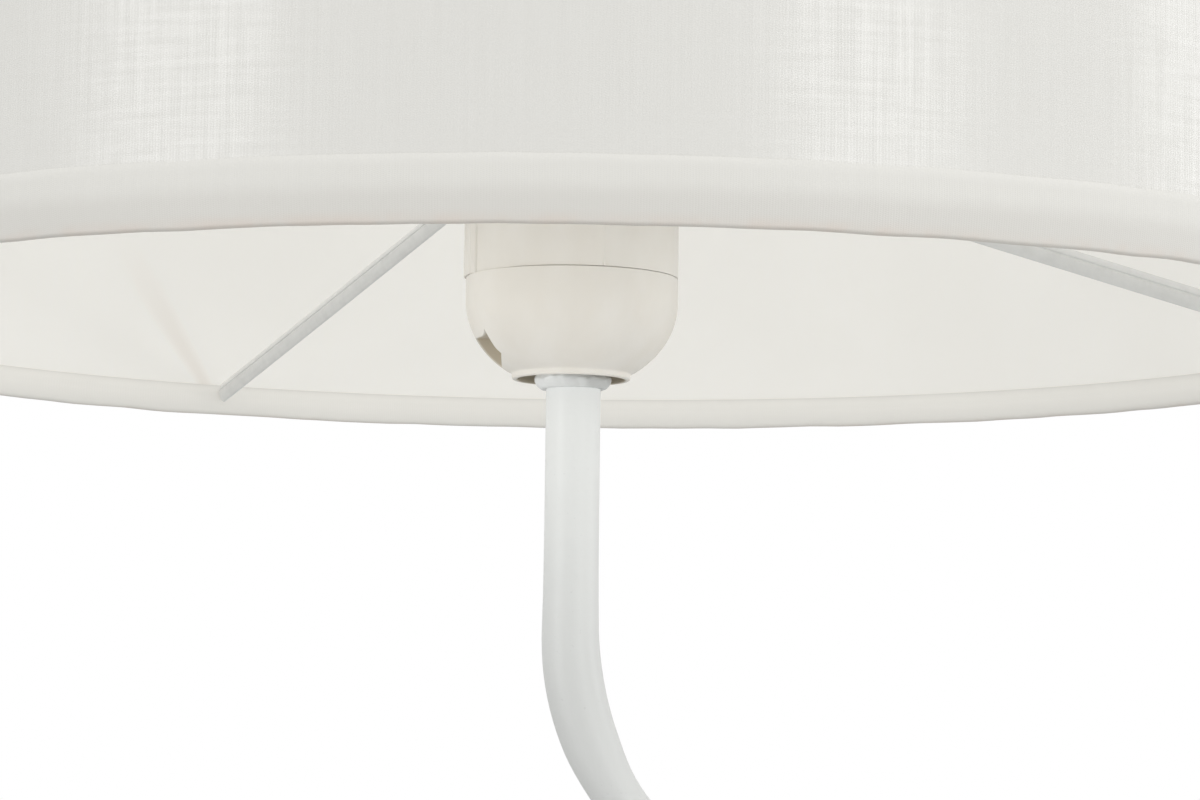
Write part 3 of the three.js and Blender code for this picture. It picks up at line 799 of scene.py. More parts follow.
def arm_rings(turn, start, end):
    """Rings along one arm. Its section shrinks over the last millimetre into a blunt end."""
    along = (end - start).normalized()
    up = Vector((0, 1, 0)).cross(along) * -1
    length = (end - start).length
    blunt = [(0, 0), (0.05, 0.5), (0.35, 0.8), (0.9, 0.97), (1.6, 1)]
    places = blunt + [(s, 1) for s in level_steps(4, length - 4, 24)]
    places += [(length - back, size) for back, size in reversed(blunt)]
    rings = []
    for s, size in places:
        sag = 0.1 * math.sin(math.pi * s / length)
        centre = start + along * s - Vector((0, 0, sag))
        ring = []
        for across, rise in softened(arm_section, 0.3, steps=3):
            point = centre + Vector((0, 1, 0)) * across * size + up * rise * size
            ring.append(at_hem + turn @ point)
        rings.append(ring)
    return rings


def weld_bead(name, place, size):
    outline = [
        (size * math.cos(a), size * math.sin(a) * 0.8)
        for a in (math.pi * (k / 10 - 0.5) for k in range(11))
    ]

    def lumpy(angle, reach, height):
        return 0.12 * math.sin(math.radians(angle) * 3 + height * 2) * reach / size

    bead = skin(name, turn_rings(outline, around(24), place, lumpy), wrap=False)
    return show(bead, "shade", "white_painted_wire")


for number, angle in enumerate(arm_angles, 1):
    turn = Matrix.Rotation(math.radians(angle), 3, "Z")
    arm = skin(f"spider_wire_{number}", arm_rings(turn, arm_start, arm_end), wrap=False)
    show(arm, "shade", "white_painted_wire", f"spider_arm_{number}")
    for letter, side in (("a", -1), ("b", 1)):
        spot = turn @ (arm_start + Vector((0.7, side * 0.9, 0)))
        weld_bead(f"weld_{number}_{letter}", at_hem + spot, 0.95)
print("arm slopes from", round(arm_start.z, 1), "to", round(arm_end.z, 1), "mm above the hem")

# %% [markdown]
# ## The lampholder's cap
#
# The lower half of the lampholder is a deep bowl with a turned-down rim that sits on the
# tube's collar. It is thin, and on one side a latch window opens into it. The window has a
# small sharp notch in its upper corner where the latch's rib runs. The bowl is turned, and
# the window is cut with a Boolean, as a slide in the mould would leave it.

# %% The cap and its window
rim_bottom, cap_seam = span("lampholder_cap")
cap_wall = 1.5
cap_bottom_bore = 12.6
rim_lip = 1.1
rim_radius = 10.85


def bowl(radius, depth, start, end, steps):
    line = []
    for height in level_steps(start, end, steps):
        line.append((radius * math.sqrt(1 - ((cap_centre - height) / depth) ** 2), height))
    return line


def carve(piece, *cutters, operation="DIFFERENCE"):
    for cutter in cutters:
        boolean = piece.modifiers.new("carve", "BOOLEAN")
        boolean.operation = operation
        boolean.solver = "EXACT"
        boolean.object = cutter
    settle(piece)
    for cutter in cutters:
        bpy.data.objects.remove(cutter)
    tidy_mesh(piece)
    return piece


def settle(piece):
    """Makes what the modifiers do part of the mesh."""
    depsgraph = bpy.context.evaluated_depsgraph_get()
    piece.data = bpy.data.meshes.new_from_object(piece.evaluated_get(depsgraph))
    piece.modifiers.clear()


def prism(outline, low, high, place):
    """A straight-sided solid. place turns (across, up, along) into the lamp's own frame."""
    rings = [[place(u, v, w) for u, v in outline] for w in (low, high)]
    mesh = bpy.data.meshes.new("prism")
    count = len(outline)
    points = [point * MM for ring in rings for point in ring]
    faces = [(k, (k + 1) % count, count + (k + 1) % count, count + k) for k in range(count)]
    faces += [tuple(range(count))[::-1], tuple(range(count, 2 * count))]
    mesh.from_pydata(points, [], faces)
    piece = bpy.data.objects.new("prism", mesh)
    scene.collection.objects.link(piece)
    tidy_mesh(piece)
    return piece


lip_top = rim_bottom + rim_lip
outer_bowl = bowl(cap_radius, cap_depth, lip_top + 0.5, cap_centre, 26)
inner_bowl = [(cap_radius - cap_wall, 8.6), (cap_bottom_bore, 4.4), (cap_bottom_bore, -1)]
rim = softened(
    [
        (rim_bore, -3.0, 0.2),
        (rim_bore, rim_bottom, 0.35),
        (rim_radius, rim_bottom, 0.45),
        (rim_radius, lip_top, 0.35),
        outer_bowl[0],
    ],
    0.3,
    closed=False,
)
edge = softened(
    [
        outer_bowl[-1],
        (cap_radius, cap_seam, 0.16),
        (cap_radius - cap_wall, cap_seam, 0.22),
        inner_bowl[0],
    ],
    0.2,
    closed=False,
)
floor_line = [(tube_radius + 2 * gap, -1), (tube_radius + 2 * gap, -3)]
cap_outline = floor_line + rim + outer_bowl[1:-1] + edge + inner_bowl[1:]
slipped = at_hem - Vector((cap_slip, 0, 0))
cap = skin("lampholder_bowl", turn_rings(cap_outline, around(144), slipped))

window_mouth = -26  # well outside the cap
# (toward the back, up) from the tube's middle at the hem, with the notch in the first corner
window_outline = [(-8.75, 2.3), (-7.9, 1.65), (-6.9, 1.3), (-5.6, 1.18), (-2.3, 1.3)]
window_outline += [(0.8, 1.5), (0.8, -8), (-7.75, -8), (-7.75, -1.2), (-8.4, 0.6)]

def sideways(across, up, along):
    return at_hem + Vector((along, across, up))


carve(cap, prism(window_outline, window_mouth, window_floor, sideways))
show(cap, "stand", "holder_plastic", "lampholder_cap")
print("cap has", len(cap.data.polygons), "faces")

# %% [markdown]
# ## The lampholder's body
#
# The upper half is a plain cylinder with a raised latch pad down one side, a hair-thin
# mould line in front, and a coarse screw thread round its upper half for the shade rings.
# All three are relief on the same turned skin. The thread is a wave that moves up by one
# pitch in each turn.

# %% The body with its pad, mould line and thread
body_radius = cap_radius - 0.45
body_bottom = cap_seam + 0.1
thread_start = 28.0
thread_radius = cap_radius + 0.35
thread_pitch = 4.0
thread_depth = 0.75
body_top = span("lampholder_body")[1]
socket_radius = 13.9
socket_floor = 22.3
block_bore = 16.1
pad_half = 20.6
pad_rise = 1.35
pad_edge = 0.35
pad_grooves = (9.0, 15.5)
pad_top = 26.0
groove_depth = 0.2
mould_angle = 286.5
mould_ridge = 0.09
mould_nub = 0.3


def hill(value, centre, width):
    return math.exp(-(((value - centre) / width) ** 2))


def fall(value, edge, width):
    """1 well below the edge, 0 past it."""
    return min(1, max(0, (edge - value) / width + 0.5))


def body_relief(angle, reach, height):
    if reach < body_radius - 0.6:
        return 0
    off = abs(angle % 360 - 180)
    rise = 0.0
    if height < pad_top + 0.1:
        step = fall(off, pad_half, 0.5) * fall(height, pad_top, 0.4)
        crown = 1 - min(1, off / pad_half) ** 2
        rise += step * (pad_edge + (pad_rise - pad_edge) * crown)
        for groove in pad_grooves:
            rise -= groove_depth * step * hill(off, groove, 0.5)
    if height < thread_start:
        nub = hill(height, body_bottom + 0.4, 0.5)
        rise += hill(angle, mould_angle, 0.45) * (mould_ridge + mould_nub * nub)
    if height > thread_start + 0.6:
        turn = (height - thread_start) / thread_pitch - angle / 360
        tooth = min(1, max(-1, 1.7 * math.cos(2 * math.pi * turn)))
        ends = min(1, (height - thread_start - 0.6) / 2, (body_top - 0.3 - height) / 1.5)
        rise -= thread_depth * (0.5 - 0.5 * tooth) * max(0, ends)
    return rise


corners = [
    (block_bore, body_bottom),
    (body_radius, body_bottom, 0.16),
    (body_radius, body_bottom + 1),
]
foot_line = softened(corners, 0.0, closed=False)
wall_line = [(body_radius, z) for z in (14.5, 18, 22, 25.6, 25.85, 26.05, 26.3, 27.6)]
thread_line = [(thread_radius, z) for z in level_steps(thread_start + 0.3, body_top - 0.4, 54)]
inside_line = [
    (thread_radius - 0.5, body_top),
    (socket_radius + 0.4, body_top),
    (socket_radius, body_top - 0.4),
    (socket_radius, socket_floor),
    (block_bore, socket_floor),
]
body_outline = foot_line + wall_line + thread_line + inside_line
marks = [180 + side * spot for spot in (*pad_grooves, pad_half) for side in (-1, 1)]
angles = around(144, *marks, mould_angle)
body = lathe(
    "lampholder_barrel", body_outline, angles, "stand", "holder_plastic", "lampholder_body",
    relief=body_relief,
)

# %% [markdown]
# ## The shade rings
#
# Two threaded rings clamp the spider between them. Fingers need a grip to turn them, so
# their rims are ribbed. The ribs are again only a relief round the rim.

# %% Ribbed shade rings
ring_radius = outer_radius("shade_ring_lower")


def ribs(angle, reach, height):
    return -0.35 * abs(math.sin(math.radians(angle) * 22)) if reach > ring_radius - 0.6 else 0


def shade_ring(name, node, body_name, collar_height):
    low, high = span(node)
    shoulder = high - collar_height
    inner = thread_radius + gap
    corners = [(inner, low, 0.3), (ring_radius, low, 0.5), (ring_radius, shoulder, 0.5)]
    if collar_height:
        corners += [(thread_radius + 3, high, 0.5)]
    corners += [(inner, high, 0.3)]
    outline = softened(corners, 0.4)
    lathe(name, outline, around(264), body_name, "holder_plastic", node, relief=ribs)


shade_ring("shade_ring_under", "shade_ring_lower", "stand", 0)
shade_ring("shade_ring_over", "shade_ring_upper", "shade_ring", 3)

# %% [markdown]
# ## The bulb
#
# The bulb gives the lamp its working height inside the drum. Its screw shell has the
# rounded thread of the common large cap, rolled into thin metal. Above it are a tapered
# plastic housing and an opal globe.

# %% The bulb
shell_low, shell_high = span("bulb_screw_shell")
shell_radius = outer_radius("bulb_screw_shell")
shell_pitch = 3.63


def rolled_thread(angle, reach, height):
    if reach < shell_radius - 1.3:
        return 0
    ends = min(1, (height - shell_low - 0.5) / 1.5, (shell_high - 0.5 - height) / 2)
    turn = (height - shell_low) / shell_pitch - angle / 360
    return -1.0 * (0.5 - 0.5 * math.cos(2 * math.pi * turn)) * max(0, ends)


shell_line = [(0, shell_low), (shell_radius - 1.6, shell_low), (shell_radius - 1.2, shell_low + 0.3)]
shell_line += [(shell_radius, z) for z in level_steps(shell_low + 1.1, shell_high - 0.6, 60)]
shell_line += [(shell_radius - 0.4, shell_high), (0, shell_high)]
lathe(
    "bulb_cap_shell", shell_line, around(96), "bulb", "bulb_shell", "bulb_screw_shell",
    relief=rolled_thread, wrap=False,
)


def bulb_part(name, node, corners, body_name, slot, size=0.3, steps=4, facets=96):
    """A solid turned piece. The outline's first and last corner lie on the axis."""
    outline = softened(corners, size, closed=False, steps=steps)
    lathe(name, outline, around(facets), body_name, slot, node, wrap=False)


low, high = span("bulb_tip_contact")
tip_radius = outer_radius("bulb_tip_contact")
corners = [(0, low), (tip_radius * 0.6, low + 0.05, 0.8), (tip_radius, high - 0.4, 0.3)]
corners += [(tip_radius - 0.2, high, 0.1), (0, high)]
bulb_part("bulb_tip", "bulb_tip_contact", corners, "bulb_tip", "zinc_steel", facets=48)

low, high = span("bulb_insulator")
glass_radius = outer_radius("bulb_insulator")
corners = [(0, low), (tip_radius + 0.5, low, 0.5), (glass_radius - 0.6, high - 0.6, 0.8)]
corners += [(glass_radius, high, 0.2), (0, high)]
bulb_part("bulb_glass_seat", "bulb_insulator", corners, "bulb", "black_glass", facets=64)

low, high = span("bulb_housing")
house_radius = outer_radius("bulb_housing")
corners = [(0, low), (shell_radius + 0.6, low, 0.4), (shell_radius + 1.6, low + 6, 3.5)]
corners += [(house_radius - 0.5, high - 3, 4.0), (house_radius, high, 0.5), (0, high)]
bulb_part("bulb_body", "bulb_housing", corners, "bulb", "bulb_plastic", size=0.5, steps=8)

low, high = span("bulb_globe")
globe_radius = 30.0
globe_centre = high - globe_radius
start = math.asin((low - globe_centre) / globe_radius)
globe_line = [(0, low)]
for a in level_steps(start, math.pi / 2, 36):
    globe_line.append((globe_radius * math.cos(a), globe_centre + globe_radius * math.sin(a)))
globe_line[-1] = (0, high)
lathe("bulb_diffuser", globe_line, around(96), "bulb", "opal_globe", "bulb_globe", wrap=False)

# %% [markdown]
# ## Bent tubes
#
# A tube bender is a turtle: it goes straight for a length, then turns about a point beside
# it. The path remembers which way is sideways in the plane of the bend, because a bent
# tube is no longer round there. The bend pulls the outer wall in, so the tube is a little
# wider just before the bend and a little flatter in the middle of it.

# %% A path and the rings along it
class Bender:
    def __init__(self, point, ahead, aside):
        self.point = point.copy()
        self.ahead = ahead.normalized()
        self.aside = aside.normalized()
        self.travel = 0.0
        self.stations = [self.station()]

    def station(self):
        return self.point.copy(), self.ahead.copy(), self.aside.copy(), self.travel

    def straight(self, length, step=6.0):
        count = max(1, round(length / step))
        for _ in range(count):
            self.point += self.ahead * (length / count)
            self.travel += length / count
            self.stations.append(self.station())
        return self

    def bend(self, degrees, radius, step=3.0):
        """Turns towards the aside direction, or away from it if degrees is negative."""
        count = max(2, math.ceil(abs(degrees) / step))
        hinge = self.ahead.cross(self.aside)
        part = math.radians(degrees) / count
        chord = 2 * radius * math.sin(abs(part) / 2)
        for _ in range(count):
            half = Matrix.Rotation(part / 2, 3, hinge)
            self.point += (half @ self.ahead) * chord
            self.ahead = half @ half @ self.ahead
            self.aside = half @ half @ self.aside
            self.travel += radius * abs(part)
            self.stations.append(self.station())
        return self


def round_at(station, radius, shift=0.0, squeeze=(1.0, 1.0), sides=48):
    point, ahead, aside, _ = station
    third = ahead.cross(aside)
    ring = []
    for k in range(sides):
        a = 2 * math.pi * k / sides
        off = aside * (radius * squeeze[0] * math.cos(a)) + third * (radius * squeeze[1] * math.sin(a))
        ring.append(point + ahead * shift + off)
    return ring


def tube_rings(stations, outer, inner, squeeze=lambda travel: (1.0, 1.0), edge=0.3):
    """Up the outside and back down the inside, with a small chamfer at both ends."""
    first, last = stations[0], stations[-1]
    rings = [round_at(first, outer - edge), round_at(first, outer, edge)]
    for station in stations[1:-1]:
        rings.append(round_at(station, outer, squeeze=squeeze(station[3])))
    rings += [round_at(last, outer, -edge), round_at(last, outer - edge)]
    for station in reversed(stations):
        rings.append(round_at(station, inner, squeeze=squeeze(station[3])))
    return rings


# %% [markdown]
# ## The stem
#
# The stem leaves the lampholder straight down, leans out by forty degrees to make room for
# the clamp, and bends back until it points at its foot. The leg's own line is found from
# the working model: the middles of the two straight leg tubes lie on it.

# %% The stem and its collar
def leg_line(number):
    """The top of a leg, and the direction from there down to its foot."""
    upper = middle(f"leg_{number}_middle_tube")
    lower = middle(f"leg_{number}_lower_tube")
    down = (lower - upper).normalized()
    low, high = box_mm(f"leg_{number}_middle_tube")
    slope = math.sqrt(1 - down.z**2)
    length = (high.z - low.z - 2 * tube_radius * slope) / abs(down.z)
    return upper - down * (length / 2 + gap), down


stem_top = box_mm("stem_tube")[1].z
bend_height = 1128.4
shoulder_angle = 40.0
shoulder_radius = 55.0
shoulder_straight = 38.0
tail = 60.0
leg_top, leg_down = leg_line(1)
splay = math.degrees(math.acos(-leg_down.z))

stem_path = Bender(Vector((axis_x, 0, stem_top)), Vector((0, 0, -1)), Vector((1, 0, 0)))
stem_path.straight(stem_top - bend_height)
first_bend = stem_path.travel
stem_path.bend(shoulder_angle, shoulder_radius, step=2)
stem_path.straight(shoulder_straight / 2)
clamp_centre = stem_path.point.copy()
clamp_down = stem_path.ahead.copy()
clamp_out = stem_path.aside.copy()
stem_path.straight(shoulder_straight / 2)
second_bend = stem_path.travel
stem_path.bend(splay - shoulder_angle, shoulder_radius, step=2)
stem_path.straight(tail)
print("the stem misses the leg's top by", round((stem_path.point - leg_top).length, 2), "mm")


def plateau(value, start, end, width):
    rise = min(1, max(0, (value - start) / width))
    drop = min(1, max(0, (end - value) / width))
    return (rise * rise * (3 - 2 * rise)) * (drop * drop * (3 - 2 * drop))


def stem_squeeze(travel):
    bulge = 0.072 * hill(travel, first_bend + 10, 13) + 0.02 * hill(travel, second_bend, 10)
    flat = 0.11 * plateau(travel, first_bend + 20, first_bend + 46, 12)
    flat += 0.04 * plateau(travel, second_bend + 4, second_bend + 30, 8)
    return 1 + bulge - flat, 1 - bulge * 0.3 + flat * 0.5


stem = skin("stem", tube_rings(stem_path.stations, tube_radius, tube_bore, stem_squeeze))
show(stem, "stand", "white_powder_coat", "stem_tube")

collar_low, collar_high = span("stem_collar")
collar_radius = outer_radius("stem_collar")


def bead(angle, reach, height):
    """A weld bead is never even: it swells and pinches as the torch moves round."""
    a = math.radians(angle)
    ripple = 0.1 * math.sin(5 * a + 1) + 0.09 * math.sin(11 * a + 2) + 0.03 * math.sin(23 * a + height)
    grain = noise.noise(Vector((math.cos(a) * 7, math.sin(a) * 7, height * 1.5))) * 0.16
    return ripple + grain - 0.22 * math.cos(a) if reach > tube_radius + 0.6 else 0


corners = [
    (tube_radius + 0.04, collar_low + 0.1, 0),
    (tube_radius + 0.8, collar_low, 0.5),
    (collar_radius - 0.1, collar_low + 1.2, 1.0),
    (collar_radius - 0.1, collar_high, 0.5),
    (collar_radius - 0.9, collar_high + 0.7, 0.5),
    (tube_radius + 0.04, collar_high + 0.7, 0),
]
outline = softened(corners, 0.4)
collar = lathe(
    "collar_bead", outline, around(120), "stand", "white_powder_coat", "stem_collar", relief=bead
)

# %% [markdown]
# ## The crown
#
# The other two legs are one tube, bent into an arch whose flat top lies in the clamp. The
# arch hangs from the axis that it folds about. Its plane leans back, and each side of it
# spreads until it points at its foot.

# %% The arched tube
fold = next(joint for joint in frame["joints"] if joint["name"] == "arch_fold")
apex = Vector(fold["pos_m"]) / MM
crown_flat = 14.0
crown_radius = 45.0
leg_tops = {1: leg_line(1), 2: leg_line(2), 3: leg_line(3)}
arch_leg = leg_tops[2][1]
arch_down = Vector((arch_leg.x, 0, arch_leg.z)).normalized()
lean = math.degrees(math.asin(arch_leg.y))

half = Bender(apex, Vector((0, 1, 0)), arch_down)
half.straight(crown_flat)
crown_bend = half.travel
half.bend(90 - lean, crown_radius, step=3)
crown_bend_end = half.travel
half.straight(tail)
print("the crown misses the leg's top by", round((half.point - leg_tops[2][0]).length, 2), "mm")


def mirrored(vector):
    return Vector((vector.x, -vector.y, vector.z))


other_half = [
    (mirrored(point), -mirrored(ahead), mirrored(aside), -travel)
    for point, ahead, aside, travel in reversed(half.stations[1:])
]


def crown_squeeze(travel):
    flat = 0.07 * plateau(abs(travel), crown_bend + 2, crown_bend_end - 2, 12)
    return 1 - flat, 1 + flat * 0.5


crown = skin("crown", tube_rings(other_half + half.stations, tube_radius, tube_bore, crown_squeeze))
show(crown, "arch", "white_powder_coat", "crown_tube")

# %% [markdown]
# ## Legs and feet
#
# Each leg is two straight tubes joined over a hidden stud, so that the lamp packs flat.
# The ends of the tubes are lightly chamfered, which leaves a fine line at each joint. The
# feet are moulded rubber, with a soft lip at the top and a flat sole.

# %% Straight tubes and rubber feet
foot_radius = 8.0
foot_top_radius = 6.8
foot_height = 26.0
foot_sole = 6.0
grommet_height = 55.0


def straight_tube(name, start, end, body_name, node):
    ahead = (end - start).normalized()
    aside = ahead.orthogonal()
    path = Bender(start, ahead, aside).straight((end - start).length, step=40)
    tube = skin(name, tube_rings(path.stations, tube_radius, tube_bore, edge=0.35))
    return show(tube, body_name, "white_powder_coat", node)


def cut_below_floor(piece):
    work = bmesh.new()
    work.from_mesh(piece.data)
    everything = work.verts[:] + work.edges[:] + work.faces[:]
    cut = bmesh.ops.bisect_plane(
        work, geom=everything, plane_co=(0, 0, 0), plane_no=(0, 0, -1), clear_outer=True
    )
    edges = [part for part in cut["geom_cut"] if isinstance(part, bmesh.types.BMEdge)]
    bmesh.ops.edgenet_fill(work, edges=edges)
    work.to_mesh(piece.data)
    work.free()
    tidy_mesh(piece)


def rubber_foot(number, ground, up, body_name):
    corners = [
        (0, -foot_radius),
        (foot_radius, -foot_radius, 0),
        (foot_radius, foot_height * 0.45, 5),
        (foot_top_radius, foot_height - 3, 1),
        (foot_top_radius + 0.35, foot_height - 2, 0.5),
        (foot_top_radius + 0.35, foot_height, 0.6),
        (tube_radius + 0.1, foot_height, 0.2),
        (tube_radius + 0.1, foot_sole - gap, 0),
        (0, foot_sole - gap),
    ]
    rings = turn_rings(softened(corners, 0.3, closed=False, steps=6), around(64))
    foot = skin(f"rubber_foot_{number}", aimed(rings, ground, up), wrap=False)
    cut_below_floor(foot)
    return show(foot, body_name, "white_rubber", f"foot_{number}")


for number, (top, down) in leg_tops.items():
    body_name = "stand" if number == 1 else "arch"
    ground = top + down * (top.z / -down.z)
    split = top + down * ((ground - top).length / 2)
    leg = f"leg_{number}"
    straight_tube(f"{leg}_upper", top + down * gap, split, body_name, f"{leg}_middle_tube")
    start, end = split + down * gap, ground - down * foot_sole
    straight_tube(f"{leg}_lower", start, end, body_name, f"{leg}_lower_tube")
    rubber_foot(number, ground, -down, body_name)
    print("leg", number, "stands at", tuple(round(c) for c in ground))

# %% [markdown]
# ## The bush for the lead
#
# The mains lead would leave the first leg near the floor, on its inner side, through a
# small rubber bush. A real hole is cut for it. A flange stands outside the tube.

# %% The hole and the bush
first_top, first_down = leg_tops[1]
first_ground = first_top + first_down * (first_top.z / -first_down.z)
bush_centre = first_ground - first_down * grommet_height
bush_out = Vector((first_down.z, 0, -first_down.x))
if bush_out.x > 0:
    bush_out = -bush_out
hole_line = [(0, 1), (3.0, 1), (3.0, 12), (0, 12)]
rings = aimed(turn_rings(hole_line, around(48)), bush_centre, bush_out)
leg_with_hole = bpy.data.objects["leg_1_lower"]
carve(leg_with_hole, skin("drill", rings, wrap=False))
corners = [
    (1.9, tube_radius - 1.4, 0.3),
    (2.7, tube_radius - 1.4, 0.2),
    (2.7, tube_radius + 0.2, 0.1),
    (4.2, tube_radius + 0.2, 0.3),
    (3.9, tube_radius + 1.6, 0.5),
    (1.9, tube_radius + 1.6, 0.4),
]
rings = aimed(turn_rings(softened(corners, 0.3), around(48)), bush_centre, bush_out)
show(skin("lead_bush", rings), "stand", "white_rubber", "cable_grommet")

# %% [markdown]
# ## The cross clamp
#
# Three cast blocks squeeze the two tubes where they cross: one outside the stem, one
# between the tubes and one outside the crown. Each starts as a rounded square, its grooves
# are cut with cylinders a hair wider than the tube, and a fine bevel softens what is left.
# The clamp has its own frame: one axis down the stem, and one away from the crown.

# %% Clamp blocks
clamp_size = 26.0
clamp_corner = 3.0
clamp_top = 8.9
spacing = (clamp_centre - apex).length
split_half = 0.5
groove_radius = tube_radius + gap + 0.05
sideways_axis = Vector((0, 1, 0))


def clamp_place(u, v, w):
    """u runs down the stem, v sideways and w away from the crown."""
    return clamp_centre + clamp_down * u + sideways_axis * v + clamp_out * w


def polygon(reach, sides):
    turns = (2 * math.pi * k / sides for k in range(sides))
    return [(reach * math.cos(a), reach * math.sin(a)) for a in turns]


def groove(level, along):
    outline = polygon(groove_radius, 72)
    if along == "stem":
        return prism(outline, -clamp_size, clamp_size, lambda u, v, w: clamp_place(w, u, level + v))
    return prism(outline, -clamp_size, clamp_size, lambda u, v, w: clamp_place(u, w, level + v))


def bevelled(piece, width):
    bevel = piece.modifiers.new("bevel", "BEVEL")
    bevel.width = width * MM
    bevel.segments = 2
    bevel.limit_method = "ANGLE"
    bevel.angle_limit = math.radians(35)
    settle(piece)
    tidy_mesh(piece)


def clamp_block(name, node, low, high, *grooves):
    half_size = clamp_size / 2
    square = [(u * half_size, v * half_size) for u, v in ((-1, -1), (1, -1), (1, 1), (-1, 1))]
    block = prism(softened(square, clamp_corner, steps=8), low, high, clamp_place)
    block.name = name
    block.data.name = name
    for level, along in grooves:
        carve(block, groove(level, along))
    bevelled(block, 0.45)
    return show(block, "stand", "white_powder_coat", node)


# the crown lies on the far side of the stem from clamp_out
toward_crown = (apex - clamp_centre).dot(clamp_out)
print("the crown lies", round(toward_crown, 2), "mm along the clamp's out axis")
clamp_block("clamp_outer", "clamp_stem_jaw", split_half, clamp_top, (0, "stem"))
clamp_block(
    "clamp_middle", "clamp_bridge", split_half - spacing, -split_half, (0, "stem"), (-spacing, "crown")
)
clamp_block(
    "clamp_inner", "clamp_crown_jaw", -spacing - clamp_top, -split_half - spacing, (-spacing, "crown")
)

# %% [markdown]
# ## Clamp screws and nuts
#
# Two socket screws pass through all three blocks in opposite corners. Their heads are
# turned with a chamfer and a hexagon is cut into them. The nuts are hexagons whose corners
# are turned off, which is an intersection of a prism with a turned lens.

# %% Screws and nuts
screw_offset = (clamp_size / 2 + groove_radius) / 2
head_bottom = clamp_top + 0.05
head_height = 4.0
screw_tip = -spacing - clamp_top - 4.5
screw_radius = 2.0
head_radius = 3.5
key_reach = 1.7  # from the middle of the hexagon socket to a corner
nut_height = 3.2
nut_reach = 4.0


def clamp_turned(outline, steps, u0, v0):
    rings = turn_rings(outline, around(steps))
    return [[clamp_place(u0 + p.x, v0 + p.y, p.z) for p in ring] for ring in rings]


for number, side in enumerate((1, -1), 1):
    u0 = v0 = side * screw_offset

    def offset_place(u, v, w):
        return clamp_place(u0 + u, v0 + v, w)

    corners = [
        (0, screw_tip),
        (screw_radius - 0.4, screw_tip, 0),
        (screw_radius, screw_tip + 0.4, 0),
        (screw_radius, head_bottom, 0),
        (head_radius, head_bottom, 0.2),
        (head_radius, head_bottom + head_height, 0.5),
        (0, head_bottom + head_height),
    ]
    outline = softened(corners, 0.3, closed=False)
    screw = skin(f"socket_screw_{number}", clamp_turned(outline, 48, u0, v0), wrap=False)
    socket = prism(polygon(key_reach, 6), head_bottom + 1.8, head_bottom + 6, offset_place)
    carve(screw, socket)
    show(screw, "stand", "zinc_steel", f"clamp_screw_{number}")
    nut_top = -spacing - clamp_top - 0.05
    nut = prism(polygon(nut_reach, 6), nut_top - nut_height, nut_top, offset_place)
    nut.name = f"hex_nut_{number}"
    lens = [
        (0, nut_top - nut_height),
        (nut_reach - 0.7, nut_top - nut_height),
        (nut_reach + 0.1, nut_top - nut_height + 0.5),
        (nut_reach + 0.1, nut_top - 0.5),
        (nut_reach - 0.7, nut_top),
        (0, nut_top),
    ]
    carve(nut, skin("lens", clamp_turned(lens, 60, u0, v0), wrap=False), operation="INTERSECT")
    show(nut, "stand", "zinc_steel", f"clamp_nut_{number}")

# %% [markdown]
# ## What stays as it is
#
# Pieces that are hidden inside the lampholder and the tubes keep their working shapes.
# They still get a real finish, because the lamp can be taken apart.

# %% Finishes for the inner pieces
inner_finishes = {
    "stem_locknut": "zinc_steel",
    "terminal_block": "terminal_block",
    "terminal_screw_1": "brass",
    "terminal_screw_2": "brass",
    "centre_contact": "brass",
    "side_contact": "brass",
}
for number in (1, 2, 3):
    inner_finishes[f"leg_{number}_upper_stud"] = "zinc_steel"
    inner_finishes[f"leg_{number}_lower_stud"] = "zinc_steel"
for node, slot in inner_finishes.items():
    inner = frame["nodes"][node]
    inner.data.materials.clear()
    inner.data.materials.append(finishes[slot])

# %% [markdown]
# ## Floor and light
#
# A white lamp in a white room is lit by everything round it. A plain bright world gives
# the soft base. Three tall soft boxes, one to the left and two to the right, draw the
# upright streaks in the satin. Two small spots from low in front reach in under the hem,
# and light linking keeps them to the lampholder and the stem.

# %% Floor, world and soft boxes
def plain_floor():
    size = FLOOR_HALF
    mesh = bpy.data.meshes.new("floor")
    corners = [(-size, -size, 0), (size, -size, 0), (size, size, 0), (-size, size, 0)]
    mesh.from_pydata(corners, [], [(0, 1, 2, 3)])
    floor = bpy.data.objects.new("floor", mesh)
    scene.collection.objects.link(floor)
    paint = Finish("floor_paint", {"Roughness": 0.7, "Specular IOR Level": 0.2})
    paint.set("Base Color", paint.mix((0.52, 0.52, 0.51), (0.54, 0.54, 0.53), paint.noise(400)))
    mesh.materials.append(paint.material)
    floor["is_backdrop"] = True


def studio_world(light, background):
    world = bpy.data.worlds.new("studio")
    world.use_nodes = True
    world.node_tree.nodes.clear()
    sky = Nodes(world.node_tree)
    way = sky.node("ShaderNodeTexCoord", output="Generated")
    height = sky.node("ShaderNodeSeparateXYZ", sockets={0: way}, output="Z")
    limits = {"From Min": -0.6, "From Max": 0.7, "To Min": 0.44, "To Max": 1.28}
    tone = sky.node("ShaderNodeMapRange", sockets={"Value": height} | limits)
    unseen = sky.node("ShaderNodeBackground", sockets={"Color": tone, "Strength": light})
    white = {"Color": (1, 1, 1, 1), "Strength": background}
    seen = sky.node("ShaderNodeBackground", sockets=white)
    camera_ray = sky.node("ShaderNodeLightPath", output="Is Camera Ray")
    either = sky.node("ShaderNodeMixShader", sockets={0: camera_ray, 1: unseen, 2: seen})
    sky.node("ShaderNodeOutputWorld", sockets={"Surface": either})
    scene.world = world


def new_light(name, kind, location, target):
    data = bpy.data.lights.new(name, kind)
    light = bpy.data.objects.new(name, data)
    scene.collection.objects.link(light)
    light.location = location
    light.rotation_euler = (target - location).to_track_quat("-Z", "Y").to_euler()
    light.visible_camera = False
    return light


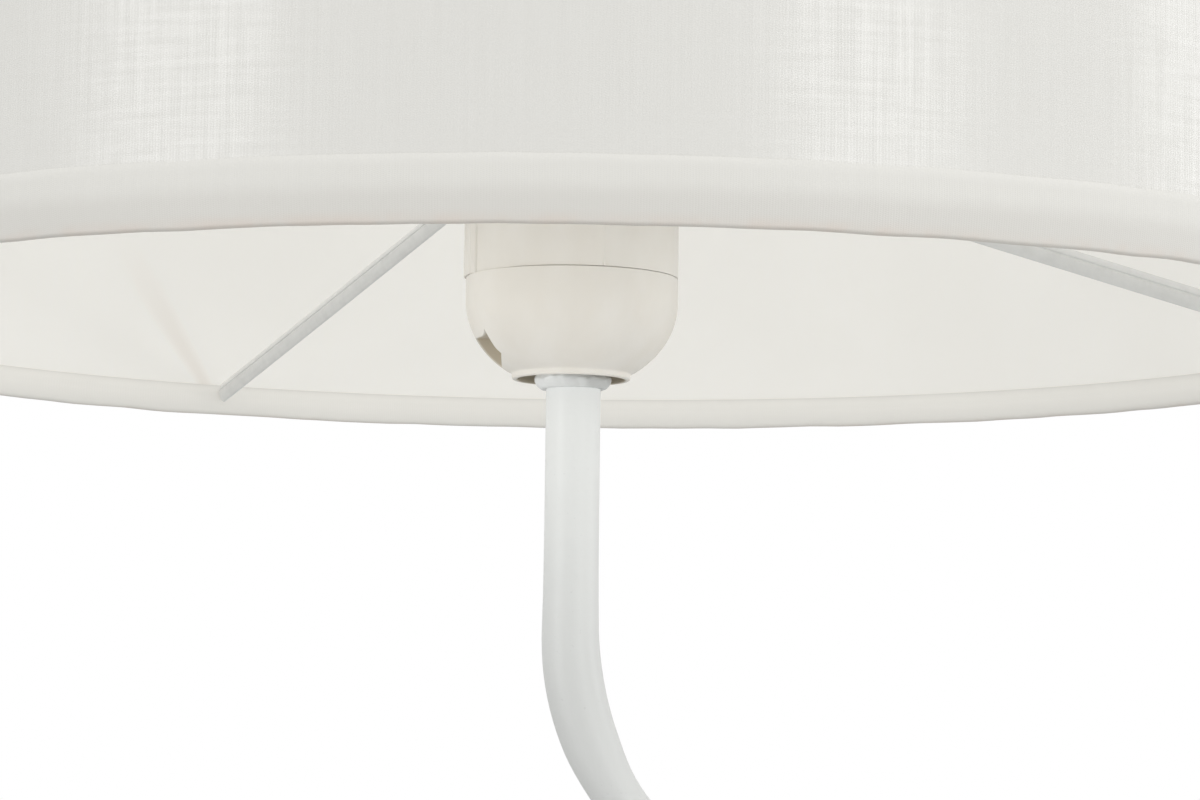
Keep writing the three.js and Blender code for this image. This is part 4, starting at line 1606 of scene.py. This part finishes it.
def soft_box(name, direction, width, brightness):
    """A tall lamp that faces the shade. direction is degrees to the right of the camera."""
    a = math.radians(direction)
    target = Vector((axis_x * MM, 0, 1.15))
    side = Vector((math.sin(a), -math.cos(a), 0)) * BOX_DISTANCE
    light = new_light(name, "AREA", Vector((target.x, 0, BOX_HEIGHT)) + side, target)
    light.data.shape = "RECTANGLE"
    light.data.size = width
    light.data.size_y = BOX_TALL
    light.data.energy = brightness * math.pi * width * BOX_TALL


def under_light(name, receivers, direction, brightness):
    """A small spot from low in front that reaches in under the hem, for a few pieces only."""
    a = math.radians(direction)
    offset = Vector((math.sin(a) * SPOT_DISTANCE, -math.cos(a) * SPOT_DISTANCE, -SPOT_DROP))
    light = new_light(name, "SPOT", at_hem * MM + offset, at_hem * MM)
    light.data.energy = brightness * 4 * math.pi**2 * offset.length_squared
    light.data.spot_size = 2 * math.atan(SPOT_REACH * MM / offset.length)
    light.data.spot_blend = 1.0
    light.data.shadow_soft_size = SPOT_SIZE
    lit = bpy.data.collections.new(name)
    for piece in receivers:
        lit.objects.link(piece)
    light.light_linking.receiver_collection = lit


FLOOR_HALF = 30.0
BOX_DISTANCE = 2.4
BOX_HEIGHT = 1.55
BOX_TALL = 1.9
SPOT_DISTANCE = 1.3
SPOT_DROP = 0.26
SPOT_SIZE = 0.03
SPOT_REACH = 54  # millimetres round the lampholder's foot
plain_floor()
studio_world(light=0.835, background=1.0)
soft_box("box_left", -48, 1.0, 1.72)
soft_box("box_right", 36, 0.88, 1.8)
soft_box("box_far_right", 86, 1.1, 1.74)
under_light("under_left", [cap, body, stem, collar], -60, 0.52)
under_light("under_right", [cap, body, stem], 58, 0.41)
scene.view_settings.view_transform = "Standard"

# %% [markdown]
# ## The size
#
# The finished lamp must fill the same box as the working model. Both boxes are measured
# here, and how much each side grew is printed.

# %% Measure the two boxes
visual_low, visual_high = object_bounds()
growth = (visual_high - visual_low) - (cad_high - cad_low)
print("sides grew by", [round(side, 4) for side in growth])
